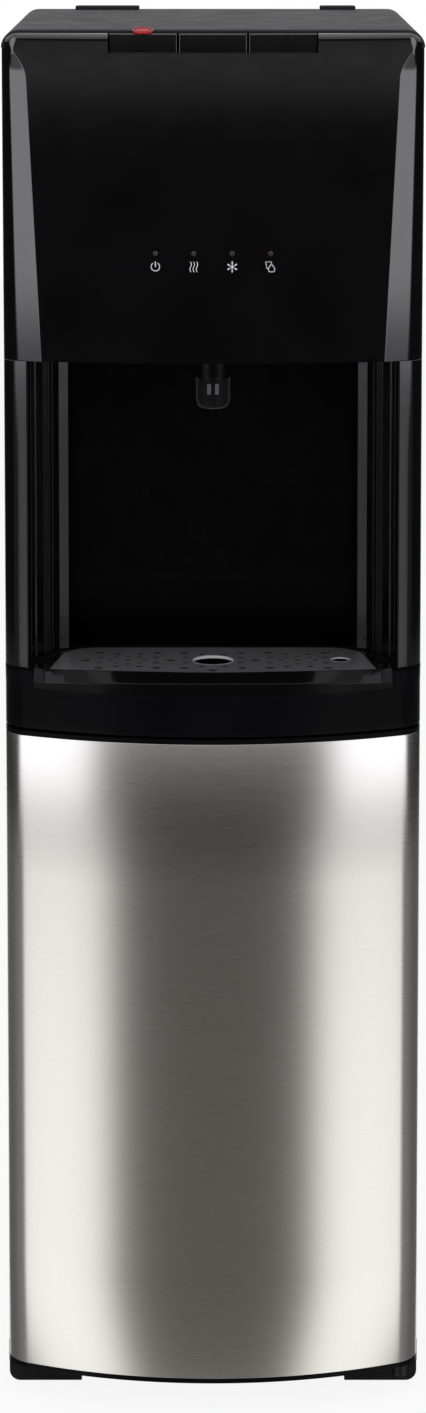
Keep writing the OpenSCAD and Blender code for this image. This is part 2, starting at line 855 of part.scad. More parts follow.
module control_board() color([0.05, 0.3, 0.12]) {
    rear = board_y + board_t;
    block([-board_w / 2, board_y, lens_z - board_h / 2], [board_w / 2, rear, lens_z + board_h / 2]);
    block([-board_w * 0.28, rear, lens_z - board_h * 0.24],
        [-board_w * 0.14, rear + 10.4, lens_z + board_h * 0.08]);
    block([board_w * 0.07, rear, lens_z - board_h * 0.16],
        [board_w * 0.21, rear + 2.4, lens_z + board_h * 0.24]);
    block([board_w * 0.31, rear, lens_z - board_h * 0.36],
        [board_w * 0.42, rear + 7.4, lens_z - board_h * 0.08]);
}

// What lies between the skin's inner and outer outline of the door, in front of the side panels
module door_slice(z0, z1, inset) {
    slab(z0, z1) intersection() {
        door_plan(inset, back_y);
        translate([-half_w, front_y])
            square([body_w, door_back_y - front_y]);
    }
}

module door_skin() color(steel_grey) difference() {
    door_slice(door_z0 + cap_h, door_z1 - cap_h, 0);
    slab(door_z0, door_z1) door_plan(skin_t, back_y);
}

module door_cap(z0, boss_z0) {
    difference() {
        union() {
            intersection() {
                door_slice(z0, z0 + cap_h, 0);
                block([-half_w, front_y, z0], [half_w, door_liner_y + liner_t, z0 + cap_h]);
            }
            difference() {
                door_slice(z0, z0 + cap_h, 0);
                slab(z0 - 1, z0 + cap_h + 1) door_plan(wall, back_y);
            }
            translate([hinge_x, hinge_y, boss_z0])
                cylinder(r = boss_r, h = 14);
        }
        translate([hinge_x, hinge_y, 0])
            cylinder(d = pin_d + 2 * pin_fit, h = body_h);
    }
}

module door_top_cap() color(gloss_black) door_cap(door_z1 - cap_h, door_z1 - 14);

module door_bottom_cap() color(gloss_black) door_cap(door_z0, door_z0);

module door_liner() color([0.75, 0.75, 0.76]) {
    x1 = half_w - skin_t - 0.2;
    z0 = door_z0 + cap_h;
    z1 = door_z1 - cap_h;
    difference() {
        union() {
            block([-x1, door_liner_y, z0], [x1, door_liner_y + liner_t, z1]);
            for (x = [-70, 0, 70])
                intersection() {
                    block([x - 1, front_y, z0], [x + 1, door_liner_y, z1]);
                    slab(z0, z1) door_plan(skin_t + 0.2, back_y);
                }
        }
        for (z = [z0, z1 - 14 + cap_h])
            translate([hinge_x, hinge_y, z - 0.5])
                cylinder(r = boss_r + 0.3, h = 14.5);
    }
}

module door_magnet() color([0.2, 0.2, 0.2])
    block([-bay_half + 2, door_liner_y + liner_t, magnet_z],
        [-bay_half + 12, bay_front_y - 3, magnet_z + magnet_h]);

module strike_plate() color(zinc)
    block([-bay_half + 1, bay_front_y - 1.5, magnet_z - 5],
        [-bay_half + 13, bay_front_y, magnet_z + magnet_h + 5]);

module hinge_pins() color(steel_grey) {
    translate([hinge_x, hinge_y, base_clear + 2])
        cylinder(d = pin_d, h = pin_len);
    translate([hinge_x, hinge_y, door_z1 - 12])
        cylinder(d = pin_d, h = pin_len);
}

module bay_liner() color([0.8, 0.8, 0.81]) {
    rear_in = rear_y - bay_t;
    flange = 12;
    difference() {
        block([-bay_half, bay_front_y, base_h], [bay_half, rear_y, deck_z]);
        block([-bay_half + bay_t, bay_front_y - 1, base_h + 3],
            [bay_half - bay_t, rear_in, deck_z + 1]);
    }
    for (side = [-1, 1])
        block([side > 0 ? bay_half - flange : -bay_half, bay_front_y, base_h + 3],
            [side > 0 ? bay_half : -bay_half + flange, bay_front_y + bay_t, deck_z]);
}

module mid_deck() color(zinc) difference() {
    block([-inner_x, bay_front_y, deck_z], [inner_x, rear_y, deck_z + deck_t]);
    translate([probe_x, probe_y, deck_z - 1])
        cylinder(d = hose_d + 4, h = deck_t + 2);
}

module tank_shelf() color(zinc) difference() {
    block([-inner_x, niche_y + 12, shelf_z], [inner_x, rear_y, shelf_z + deck_t]);
    for (p = [[pump_x, pump_y, hose_d + 4], [line_x[1] + 5, comp_y, line_d + 4],
        [line_x[1], cold_y + 55, 8], [drain_x + 22, hot_y, hose_d + 3]])
        translate([p[0], p[1], shelf_z - 1])
            cylinder(d = p[2], h = deck_t + 2);
}

module compressor() color([0.07, 0.07, 0.075]) translate([comp_x, comp_y, 0]) {
    z0 = deck_z + deck_t + grommet_h;
    r = compressor_d / 2;
    difference() {
        block([-comp_plate_x, -comp_plate_y, z0], [comp_plate_x, comp_plate_y, z0 + 2.5]);
        for (x = [-comp_foot_x, comp_foot_x], y = [-comp_foot_y, comp_foot_y])
            translate([x, y, z0 - 1])
                cylinder(d = 8, h = 5);
    }
    translate([0, 0, z0 + 2.5])
        rotate_extrude()
            polygon([[0, 0], [r - 8, 0], [r, 10], [r, compressor_h * 0.45],
                [r - 4, compressor_h * 0.7], [r - 20, compressor_h * 0.92],
                [r - 40, compressor_h], [0, compressor_h]]);
    block([-comp_box_w / 2, -r - comp_box_d, z0 + 30], [comp_box_w / 2, -r + 12, z0 + 30 + comp_box_h]);
}

module compressor_grommets() color([0.12, 0.12, 0.12])
    for (x = [-comp_foot_x, comp_foot_x], y = [-comp_foot_y, comp_foot_y])
        translate([comp_x + x, comp_y + y, deck_z + deck_t])
            cylinder(d = 20, h = grommet_h);

module pump() color([0.15, 0.15, 0.16]) {
    block([pump_x - pump_w / 2, pump_y - pump_l / 2, pump_z],
        [pump_x + pump_w / 2, pump_y + pump_l / 2, pump_z + pump_h]);
    translate([pump_x, pump_y, pump_z + pump_h])
        cylinder(d = pump_head_d, h = pump_head_h);
}

module probe_tube() color([0.85, 0.87, 0.88]) difference() {
    translate([probe_x, probe_y, base_h + 30])
        cylinder(d = probe_d, h = probe_cap_z - base_h - 30);
    translate([probe_x, probe_y, base_h + 29])
        cylinder(d = probe_d - 4, h = deck_z);
}

module probe_cap() color([0.1, 0.35, 0.7]) translate([probe_x, probe_y, probe_cap_z]) difference() {
    cylinder(d = probe_cap_d, h = 24);
    translate([0, 0, -1])
        difference() {
            cylinder(d = probe_cap_d - 6, h = 21);
            cylinder(d = probe_d + 6, h = 21);
        }
    translate([0, 0, -1])
        cylinder(d = probe_d - 4, h = 30);
}

module probe_clip() color([0.8, 0.8, 0.81]) difference() {
    block([probe_x - clip_w / 2, probe_y - 6, clip_z],
        [probe_x + clip_w / 2, rear_y - bay_t, clip_z + clip_h]);
    translate([probe_x, probe_y, clip_z - 1])
        cylinder(d = probe_d + 0.6, h = clip_h + 2);
    block([probe_x - 6, probe_y - 8, clip_z - 1], [probe_x + 6, probe_y, clip_z + clip_h + 1]);
}

module water_hoses() color([0.9, 0.9, 0.88]) {
    pipe([[probe_x, probe_y, probe_cap_z + 24], [probe_x, probe_y, pump_z + pump_h / 2],
        [probe_x, pump_y + pump_l / 2, pump_z + pump_h / 2]], hose_d);
    bar([pump_x, pump_y, pump_z + pump_h + pump_head_h], [pump_x, pump_y, shelf_z + deck_t], hose_d);
    pipe([[drain_x + 22, hot_y, shelf_z + deck_t], [drain_x + 22, hot_y, hose_z],
        [drain_x, rear_y - 22, hose_z], [drain_x, rear_y - 22, drain_z],
        [drain_x, rear_y - 14, drain_z]], hose_d - 1);
    for (i = [-1, 1])
        pipe([[i * (valve_pitch - valve_w / 2), nozzle_c + 14, valve_top - 12],
            [i * (valve_w / 2), nozzle_c + 14, valve_top - 12]], 7);
}

module refrigerant_lines() color(copper) {
    z_out = deck_z + 115;
    side_x = comp_x + compressor_d / 2;
    pipe([[side_x + 0.1, comp_y, z_out - 40], [line_x[1] + 5, comp_y, z_out - 40],
        [line_x[1] + 5, comp_y, shelf_z + deck_t]], line_d);
    pipe([[side_x - 2, comp_y, z_out], [line_x[0], comp_y, z_out],
        [line_x[0], condenser_y - 30, z_out], [line_x[0], rear_y + 9.4, z_out]], line_d);
    pipe([[line_x[1], rear_y - 15, drier_z + drier_h], [line_x[1], rear_y - 15, line_top_z],
        [line_x[1], cold_y + 55, line_top_z], [line_x[1], cold_y + 55, shelf_z + deck_t]],
        line_d / 2);
    pipe([[line_x[1], rear_y - 15, drier_z], [line_x[1], rear_y - 15, deck_z + 25],
        [line_x[1], rear_y + 9.4, deck_z + 25]], line_d);
}

module filter_drier() color(copper)
    translate([line_x[1], rear_y - 15, drier_z])
        cylinder(d = 3 * line_d, h = drier_h);

module tank(d, h, z0) {
    translate([0, 0, z0])
        cylinder(d = d, h = h);
    translate([0, 0, z0 + h])
        cylinder(d = 10, h = foam_t - 1);
}

module foam(d, h, z0) {
    difference() {
        translate([0, 0, z0])
            cylinder(d = d + 2 * foam_t, h = h + 2 * foam_t);
        translate([0, 0, z0 + foam_t - eps])
            cylinder(d = d + 1, h = h + 2 * eps);
        translate([0, 0, z0 + foam_t + h - 1])
            cylinder(d = 11, h = foam_t + 2);
    }
}

module cold_tank() color(steel_grey)
    translate([cold_x, cold_y, 0]) tank(cold_d, cold_h, shelf_z + deck_t + foam_t);

module hot_tank() color(steel_grey)
    translate([hot_x, hot_y, 0]) tank(hot_d, hot_h, shelf_z + deck_t + foam_t);

module tank_foam() color(foam_white) {
    translate([cold_x, cold_y, 0]) foam(cold_d, cold_h, shelf_z + deck_t);
    translate([hot_x, hot_y, 0]) foam(hot_d, hot_h, shelf_z + deck_t);
}

module water_valves() color([0.88, 0.88, 0.86]) {
    for (i = [-1 : 1])
        translate([i * valve_pitch, nozzle_c + 14, niche_z1 + wall]) {
            difference() {
                translate([-valve_w / 2, -valve_w / 2, 0])
                    cube([valve_w, valve_w + 10, valve_w + 4]);
                if (i == 0)
                    translate([0, -14, -1])
                        cylinder(d = outlet_d + 6, h = nozzle_spigot + 2);
            }
            translate([0, 4, valve_w + 4])
                cylinder(d = valve_w - 2, h = valve_w + 2);
        }
}

module condenser() color([0.06, 0.06, 0.06]) {
    r = condenser_pitch / 2;
    span = 2 * (condenser_half - condenser_pitch);
    wire_y = condenser_y + condenser_d / 2 + wire_d / 2 + 0.1;
    wire_z1 = condenser_z0 + (condenser_runs - 1) * condenser_pitch + 12;
    for (i = [0 : condenser_runs - 1]) {
        z = condenser_z0 + i * condenser_pitch;
        bar([-condenser_half + r, condenser_y, z], [condenser_half - r, condenser_y, z], condenser_d);
        if (i < condenser_runs - 1)
            translate([(i % 2 == 0 ? 1 : -1) * (condenser_half - r), condenser_y, z + r])
                rotate([90, 0, 0])
                    rotate([0, 0, i % 2 == 0 ? -90 : 90])
                        rotate_extrude(angle = 180)
                            translate([r, 0])
                                circle(d = condenser_d, $fn = 24);
    }
    for (i = [0 : wire_count - 1]) {
        x = -span / 2 + i * span / (wire_count - 1);
        bar([x, wire_y, condenser_z0 - 12], [x, wire_y, wire_z1], wire_d);
    }
}

module condenser_brackets() color(satin_black)
    for (side = [-1, 1], row = [1, condenser_runs - 2]) {
        z = condenser_z0 + row * condenser_pitch;
        x = side * (condenser_half - condenser_pitch * 0.75);
        difference() {
            block([x - 6, rear_y + sheet, z - 9], [x + 6, condenser_y + 1, z + 9]);
            translate([x - 10, condenser_y, z])
                rotate([0, 90, 0])
                    cylinder(d = condenser_d + 0.1, h = 20);
        }
    }

module power_box() color([0.2, 0.2, 0.21]) {
    block([power_x - power_w / 2, rear_y - power_d, power_z - power_h / 2],
        [power_x + power_w / 2, rear_y, power_z + power_h / 2]);
    translate([power_x, rear_y - eps, power_z])
        rotate([-90, 0, 0])
            cylinder(d = gland_d, h = 6);
}

module switch_housings() color([0.08, 0.08, 0.08])
    for (x = [hot_switch_x, cold_switch_x])
        difference() {
            union() {
                block([x - switch_w / 2, rear_y - housing_d, switch_z - switch_h / 2],
                    [x + switch_w / 2, rear_y + sheet, switch_z + switch_h / 2]);
                block([x - switch_w / 2 - 2.1, rear_y + sheet, switch_z - switch_h / 2 - 2.1],
                    [x + switch_w / 2 + 2.1, rear_y + sheet + 2, switch_z + switch_h / 2 + 2.1]);
            }
            block([x - switch_w / 2 + 1.4, rear_y - 7, switch_z - switch_h / 2 + 1.4],
                [x + switch_w / 2 - 1.4, rear_y + 6, switch_z + switch_h / 2 - 1.4]);
        }

module rocker(x) {
    translate([x, rear_y + 1, switch_z])
        rotate([7, 0, 0])
            intersection() {
                rotate([0, 90, 0])
                    cylinder(r = switch_h / 2 - 1.9, h = switch_w - 3.4, center = true);
                block([-switch_w / 2, -3, -switch_h / 2], [switch_w / 2, 3.4, switch_h / 2]);
            }
}

module hot_rocker() color([0.75, 0.08, 0.08]) rocker(hot_switch_x);

module cold_rocker() color([0.1, 0.5, 0.15]) rocker(cold_switch_x);

module drain_spigot() color([0.15, 0.15, 0.16])
    translate([drain_x, rear_y - 14, drain_z])
        rotate([-90, 0, 0])
            difference() {
                union() {
                    cylinder(d = drain_d, h = 28);
                    translate([0, 0, 8])
                        cylinder(d = drain_d + 8, h = 5.9);
                }
                translate([0, 0, -1])
                    cylinder(d = drain_d - 5, h = 40);
            }

module drain_cap() color([0.1, 0.1, 0.1])
    translate([drain_x, rear_y + sheet + 1, drain_z])
        rotate([-90, 0, 0])
            difference() {
                cylinder(d = drain_d + 9, h = 15);
                translate([0, 0, -1])
                    cylinder(d = drain_d + 2 * pin_fit, h = 14.4);
                for (a = [0 : 30 : 330])
                    rotate(a)
                        translate([drain_d / 2 + 4.9, 0, -1])
                            cylinder(d = 1.8, h = 20, $fn = 16);
            }

// Pan-head screws that hold the rear panel and the rim of the top cover
module panel_screws() color(zinc) {
    x = inner_x - 8;
    low_z = condenser_z0 - 60;
    high_z = cover_skirt_z - 20;
    for (side = [-1, 1], step = [0 : 4])
        translate([side * x, rear_y + sheet + (step == 0 ? sheet + seam : 0),
            low_z + step * (high_z - low_z) / 4])
            rotate([-90, 0, 0])
                difference() {
                    union() {
                        cylinder(d = screw_d, h = 1.4);
                        cylinder(d1 = screw_d, d2 = screw_d - 2.6, h = 2.6);
                    }
                    for (a = [0, 90])
                        rotate(a)
                            translate([-2, -0.4, 1.4])
                                cube([4, 0.8, 2]);
                }
}

base();
foot_pads();
left_side_panel();
right_side_panel();
rear_panel();
top_cover();
front_fascia();
left_pillar();
right_pillar();
niche_liner();
left_fin_trim();
right_fin_trim();
mid_shell();
drip_tray();
drip_grille();
nozzle_collar();
nozzle();
hot_button();
room_button();
cold_button();
child_lock();
hot_spring();
room_spring();
cold_spring();
button_carrier();
micro_switches();
indicator_lenses();
control_board();
door_skin();
door_top_cap();
door_bottom_cap();
door_liner();
door_magnet();
strike_plate();
hinge_pins();
bay_liner();
mid_deck();
tank_shelf();
compressor();
compressor_grommets();
pump();
probe_tube();
probe_cap();
probe_clip();
water_hoses();
refrigerant_lines();
filter_drier();
cold_tank();
hot_tank();
tank_foam();
water_valves();
condenser();
condenser_brackets();
power_box();
switch_housings();
hot_rocker();
cold_rocker();
drain_spigot();
drain_cap();
panel_screws();
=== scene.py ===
from math import asin, atan2, cos, hypot, pi, radians, sin, sqrt, tan

import bmesh
import bpy
from mathutils import Matrix


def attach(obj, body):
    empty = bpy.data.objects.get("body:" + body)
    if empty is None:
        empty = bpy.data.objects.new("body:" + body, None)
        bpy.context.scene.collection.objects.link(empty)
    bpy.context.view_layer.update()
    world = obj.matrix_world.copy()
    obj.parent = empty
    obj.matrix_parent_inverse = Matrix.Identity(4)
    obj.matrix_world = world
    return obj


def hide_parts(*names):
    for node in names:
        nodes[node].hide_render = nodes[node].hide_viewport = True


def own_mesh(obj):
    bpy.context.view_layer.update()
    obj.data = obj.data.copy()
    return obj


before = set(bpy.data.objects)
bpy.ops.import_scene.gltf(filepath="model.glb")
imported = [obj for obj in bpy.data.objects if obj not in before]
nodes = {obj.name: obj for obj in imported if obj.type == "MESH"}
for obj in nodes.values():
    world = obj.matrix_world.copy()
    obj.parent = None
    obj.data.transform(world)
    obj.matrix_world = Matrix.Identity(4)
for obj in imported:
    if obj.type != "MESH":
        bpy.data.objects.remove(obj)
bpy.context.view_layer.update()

# Camera: a long lens straight in front of the dispenser, a little above its top cover. The lens
# is shifted down and tilted a few degrees, so that the drip grille shows from above and the
# upright edges stay nearly upright.
camera_back = 2.850
camera_height = 1.175
camera_tilt = 5.93

lens_barrel = bpy.data.cameras.new("front_camera")
lens_barrel.lens = 94.4
lens_barrel.sensor_width = 36
lens_barrel.shift_y = -0.345
lens_barrel.clip_start, lens_barrel.clip_end = 0.1, 60
camera = bpy.data.objects.new("front_camera", lens_barrel)
camera.location = (0, -camera_back, camera_height)
camera.rotation_euler = (radians(90 - camera_tilt), 0, 0)
bpy.context.scene.collection.objects.link(camera)
bpy.context.scene.camera = camera

# Studio: a white room with a plain pale floor. Two tall soft boxes stand beside the camera and
# light the bowed front, and dark flags between and beyond them are what the gloss black and the
# steel reflect. Camera rays pass through all of them to the white room.
room_glow = 0.5
floor_reach = 7.0
card_radius = 2.35
card_low, card_high = -4.3333, 1.75
card_rows, card_columns = 200, 48
floor_grey, floor_white = 0.86, 0.9
box_inner, box_outer, card_edge = 23.0, 60.0, 72.0
box_soft = 8.0
box_glow = 1.75
flag_outer = 150.0
overhead_height, overhead_reach, overhead_glow = 2.7, 0.9, 1.6

bpy.context.scene.view_settings.view_transform = "Standard"
room = bpy.data.worlds.new("studio_room")
room.use_nodes = True
bpy.context.scene.world = room


def seen_directly(tree):
    """1 for camera, glossy and transmission rays, else 0."""
    rays = tree.nodes.new("ShaderNodeLightPath")
    either = tree.nodes.new("ShaderNodeMath")
    either.operation = "MAXIMUM"
    tree.links.new(rays.outputs["Is Camera Ray"], either.inputs[0])
    tree.links.new(rays.outputs["Is Glossy Ray"], either.inputs[1])
    through = tree.nodes.new("ShaderNodeMath")
    through.operation = "MAXIMUM"
    tree.links.new(either.outputs[0], through.inputs[0])
    tree.links.new(rays.outputs["Is Transmission Ray"], through.inputs[1])
    return through.outputs[0]


room_tree = room.node_tree
room_light = room_tree.nodes["Background"]
room_light.inputs["Color"].default_value = (1, 1, 1, 1)
room_level = room_tree.nodes.new("ShaderNodeMapRange")
room_level.inputs["To Min"].default_value = room_glow
room_level.inputs["To Max"].default_value = 1.0
room_tree.links.new(seen_directly(room_tree), room_level.inputs["Value"])
room_tree.links.new(room_level.outputs[0], room_light.inputs["Strength"])


def put_in_scene(name, mesh):
    """Links a mesh or curve to the scene as an object of its own."""
    thing = bpy.data.objects.new(name, mesh)
    bpy.context.scene.collection.objects.link(thing)
    return thing


def built(name, shape):
    """Ends the building of a mesh and puts it in the scene."""
    mesh = bpy.data.meshes.new(name)
    shape.to_mesh(mesh)
    shape.free()
    return put_in_scene(name, mesh)


def studio_floor():
    """A plain pale disc, which keeps the dispenser's shadow and shows white to the camera."""
    shape = bmesh.new()
    bmesh.ops.create_circle(shape, cap_ends=True, segments=96, radius=floor_reach)
    floor = built("studio_floor", shape)
    floor.visible_glossy = False
    paint = bpy.data.materials.new("studio_floor_paint")
    paint.use_nodes = True
    tree = paint.node_tree
    tree.nodes.clear()
    matt = tree.nodes.new("ShaderNodeBsdfDiffuse")
    matt.inputs["Color"].default_value = (floor_grey, floor_grey, floor_grey, 1)
    white = tree.nodes.new("ShaderNodeEmission")
    level = tree.nodes.new("ShaderNodeMath")
    level.operation = "MULTIPLY"
    level.inputs[1].default_value = floor_white
    blend = tree.nodes.new("ShaderNodeMixShader")
    out = tree.nodes.new("ShaderNodeOutputMaterial")
    tree.links.new(seen_directly(tree), level.inputs[0])
    tree.links.new(level.outputs[0], blend.inputs["Fac"])
    tree.links.new(matt.outputs[0], blend.inputs[1])
    tree.links.new(white.outputs[0], blend.inputs[2])
    tree.links.new(blend.outputs[0], out.inputs["Surface"])
    floor.data.materials.append(paint)


def glowing(name):
    """A material that only glows: the material, its node tree and its emission."""
    light = bpy.data.materials.new(name)
    light.use_nodes = True
    tree = light.node_tree
    tree.nodes.clear()
    emit = tree.nodes.new("ShaderNodeEmission")
    out = tree.nodes.new("ShaderNodeOutputMaterial")
    tree.links.new(emit.outputs[0], out.inputs["Surface"])
    return light, tree, emit


def studio_card(name, first, last, glow, lights_surfaces):
    """A card bent round the dispenser between two angles, which glows as glow(angle, height) says."""
    shape = bmesh.new()
    grid, colours = [], []
    for r in range(card_rows + 1):
        height = card_low + (card_high - card_low) * r / card_rows
        row = []
        for t in range(card_columns + 1):
            angle = first + (last - first) * t / card_columns
            a = radians(angle)
            row.append(shape.verts.new((sin(a) * card_radius, -cos(a) * card_radius, height)))
            colours.append(glow(angle, height))
        grid.append(row)
    for r in range(card_rows):
        for t in range(card_columns):
            shape.faces.new((grid[r][t], grid[r + 1][t], grid[r + 1][t + 1], grid[r][t + 1]))
    card = built(name, shape)
    tint = card.data.color_attributes.new("glow", "FLOAT_COLOR", "POINT")
    for spot, colour in zip(tint.data, colours):
        spot.color = (*colour, 1)
    light, tree, emit = glowing(name + "_light")
    level = tree.nodes.new("ShaderNodeVertexColor")
    level.layer_name = "glow"
    tree.links.new(level.outputs["Color"], emit.inputs["Color"])
    card.data.materials.append(light)
    card.visible_camera = False
    card.visible_shadow = False
    card.visible_diffuse = lights_surfaces
    card.visible_transmission = False


def smooth_step(low, high, value):
    """0 below the first value, 1 above the second, and a soft step between them."""
    share = min(max((value - low) / (high - low), 0.0), 1.0)
    return share * share * (3 - 2 * share)


def flag_shade(angle, height):
    """Warm grey low down, nearly black in the middle, and lighter again where the top looks."""
    low = 1 - smooth_step(-0.045, -0.025, height)
    band = smooth_step(0.79, 0.885, height) * (1 - smooth_step(0.90, 0.925, height))
    level = 0.012 + 0.14 * low + 0.3 * band + 0.7 * smooth_step(1.05, 1.25, height)
    return (level * (1 + 0.06 * low), level, level * (1 - 0.07 * low))


def box_light(angle, height):
    """Bright at the head and at the steel door, dimmer between them, and dark at the tray's lip."""
    upper = smooth_step(0.35, 0.5, height)
    inner, soft = box_inner + 5 * upper, box_soft - 3 * upper
    outer = box_outer + 10 * upper
    level = box_glow * (1 - 0.85 * smooth_step(outer - box_soft, outer, abs(angle)))
    level *= 1 - 0.6 * smooth_step(0.05, 0.09, height) + 1.0 * smooth_step(0.42, 0.56, height)
    level *= 1 - 0.9 * smooth_step(-0.035, -0.022, height) * (1 - smooth_step(0.058, 0.075, height))
    lit = smooth_step(inner, inner + soft, abs(angle))
    tint = (1 - 0.03 * upper, 1 - 0.04 * upper, 0.985 + 0.045 * upper)
    return tuple(level * t * lit + s * (1 - lit) for t, s in zip(tint, flag_shade(angle, height)))


def side_flag_shade(angle, height):
    """Black beside the head, and grey beside the steel door."""
    low = 1 - smooth_step(0.0, 0.12, height)
    level = 0.012 + low * (0.15 + 0.13 * (1 - smooth_step(card_edge, 110, abs(angle))))
    level += 0.7 * smooth_step(1.05, 1.25, height)
    return (level, level, level)


def overhead_box():
    """A round soft box above the front of the dispenser, which lights its level tops."""
    shape = bmesh.new()
    bmesh.ops.create_circle(shape, cap_ends=True, segments=64, radius=overhead_reach)
    bmesh.ops.rotate(shape, verts=shape.verts, matrix=Matrix.Rotation(pi, 3, "X"))
    bmesh.ops.translate(shape, verts=shape.verts, vec=(0, -0.5, overhead_height))
    box = built("overhead_soft_box", shape)
    light, _, emit = glowing("overhead_soft_box_light")
    emit.inputs["Strength"].default_value = overhead_glow
    box.data.materials.append(light)
    box.visible_camera = False


studio_floor()
overhead_box()
studio_card("left_soft_box", -card_edge, -box_inner, box_light, True)
studio_card("right_soft_box", box_inner, card_edge, box_light, True)
studio_card("front_flag", -box_inner, box_inner, flag_shade, False)
studio_card("left_flag", -flag_outer, -card_edge, side_flag_shade, False)
studio_card("right_flag", card_edge, flag_outer, side_flag_shade, False)

# Base: one black moulding under the cabinet, with a skirt, four corner feet, a boss round the
# lower hinge pin, and an ear at each side that holds its panel. The whole cabinet is screwed to it.
cabinet_w = 0.310
cabinet_front, cabinet_back = -0.1805, 0.1805
base_front = -0.1304
base_low, base_top = 0.006, 0.0195
foot_long, foot_deep = 0.055, 0.050
foot_low, foot_round = 0.002, 0.008
ear_out, ear_low, ear_top = 0.0013, base_low + 0.004, 0.027
ear_front, ear_back = -0.112, base_front + 0.066
hinge_x, hinge_y, pin_boss_r = 0.143, -0.128367, 0.0065
half_w = cabinet_w / 2


def tone(colour, factor):
    """The same colour, lighter or darker."""
    return tuple(min(c * factor, 1.0) for c in colour[:3]) + (1,)


def new_finish(name):
    """An empty finish: the material, its node tree and its shader."""
    material = bpy.data.materials.new(name)
    material.use_nodes = True
    return material, material.node_tree, material.node_tree.nodes["Principled BSDF"]


def pattern(tree, kind, size, stretch=(1, 1, 1)):
    """A texture on the object's own coordinates in metres, with features of one size."""
    place = tree.nodes.new("ShaderNodeTexCoord")
    scale = tree.nodes.new("ShaderNodeMapping")
    scale.inputs["Scale"].default_value = [s / size for s in stretch]
    texture = tree.nodes.new(kind)
    texture.inputs["Scale"].default_value = 1
    tree.links.new(place.outputs["Object"], scale.inputs["Vector"])
    tree.links.new(scale.outputs["Vector"], texture.inputs["Vector"])
    return texture


def clouds(tree, size, detail=3, stretch=(1, 1, 1)):
    """Soft noise, as mottled paint and the grain of a mould have."""
    noise = pattern(tree, "ShaderNodeTexNoise", size, stretch)
    noise.inputs["Detail"].default_value = detail
    return noise.outputs["Fac"]


def spread(tree, value, low, high, socket, from_low=0.3, from_high=0.7):
    """Sends a noise to a number socket, between two values."""
    span = tree.nodes.new("ShaderNodeMapRange")
    span.inputs["From Min"].default_value = from_low
    span.inputs["From Max"].default_value = from_high
    span.inputs["To Min"].default_value = low
    span.inputs["To Max"].default_value = high
    tree.links.new(value, span.inputs["Value"])
    tree.links.new(span.outputs[0], socket)


def tones(tree, value, dark, light, socket, from_low=0.3, from_high=0.7):
    """Sends a noise to a colour socket, between two tones."""
    ramp = tree.nodes.new("ShaderNodeValToRGB")
    ramp.color_ramp.elements[0].position = from_low
    ramp.color_ramp.elements[0].color = dark
    ramp.color_ramp.elements[1].position = from_high
    ramp.color_ramp.elements[1].color = light
    tree.links.new(value, ramp.inputs["Fac"])
    tree.links.new(ramp.outputs["Color"], socket)


def relief(tree, shader, value, depth, strength=1.0):
    """Raises the surface by a noise, depth in metres."""
    bump = tree.nodes.new("ShaderNodeBump")
    bump.inputs["Distance"].default_value = depth
    bump.inputs["Strength"].default_value = strength
    tree.links.new(value, bump.inputs["Height"])
    tree.links.new(bump.outputs["Normal"], shader.inputs["Normal"])


def moulded(name, colour, rough, grain, depth, gloss=0.5, coat=0.0, mottle=0.18):
    """Moulded plastic: two close tones in slow clouds, a roughness that follows them, and the
    grain of the mould in the surface."""
    material, tree, shader = new_finish(name)
    slow = clouds(tree, 0.06)
    tones(tree, slow, tone(colour, 1 - mottle), tone(colour, 1 + mottle), shader.inputs["Base Color"])
    spread(tree, clouds(tree, 0.018, 4), rough[0], rough[1], shader.inputs["Roughness"])
    relief(tree, shader, clouds(tree, grain, 2), depth)
    shader.inputs["Specular IOR Level"].default_value = gloss
    if coat:
        shader.inputs["Coat Weight"].default_value = coat
        shader.inputs["Coat Roughness"].default_value = 0.05
    return material


def box_part(shape, low, high):
    """Adds a block from its lowest to its highest corner."""
    made = bmesh.ops.create_cube(shape, size=1)
    size = [h - l for l, h in zip(low, high)]
    middle = [(h + l) / 2 for l, h in zip(low, high)]
    bmesh.ops.scale(shape, verts=made["verts"], vec=size)
    bmesh.ops.translate(shape, verts=made["verts"], vec=middle)
    return made["verts"]


def finish_piece(thing, material, body, stands_for=(), sharp=30):
    """Gives a finished mesh its material, smooth shading and body, and hides the frame pieces that it stands
    for.
    """
    thing.data.materials.clear()
    thing.data.materials.append(material)
    thing.data.shade_smooth()
    thing.data.set_sharp_from_angle(angle=radians(sharp))
    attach(thing, body)
    if stands_for:
        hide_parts(*stands_for)
    return thing


def round_edges(thing, width, segments=2, angle=32):
    """Rounds the piece's sharp edges, as a mould or a press leaves them."""
    edge = thing.modifiers.new("rounded_edges", "BEVEL")
    edge.width = width
    edge.segments = segments
    edge.limit_method = "ANGLE"
    edge.angle_limit = radians(angle)
    edge.miter_outer = "MITER_ARC"
    edge.harden_normals = True
    return edge


gloss_black = moulded("gloss_black_plastic", (0.0034, 0.0034, 0.0038), (0.05, 0.09), 0.004, 0.000002,
    gloss=0.85)


def arc(x, y, r, first, last, steps):
    """Points of a circle between two angles in degrees, measured from the right."""
    turns = [radians(first + (last - first) * k / steps) for k in range(steps + 1)]
    return [(x + r * cos(a), y + r * sin(a)) for a in turns]


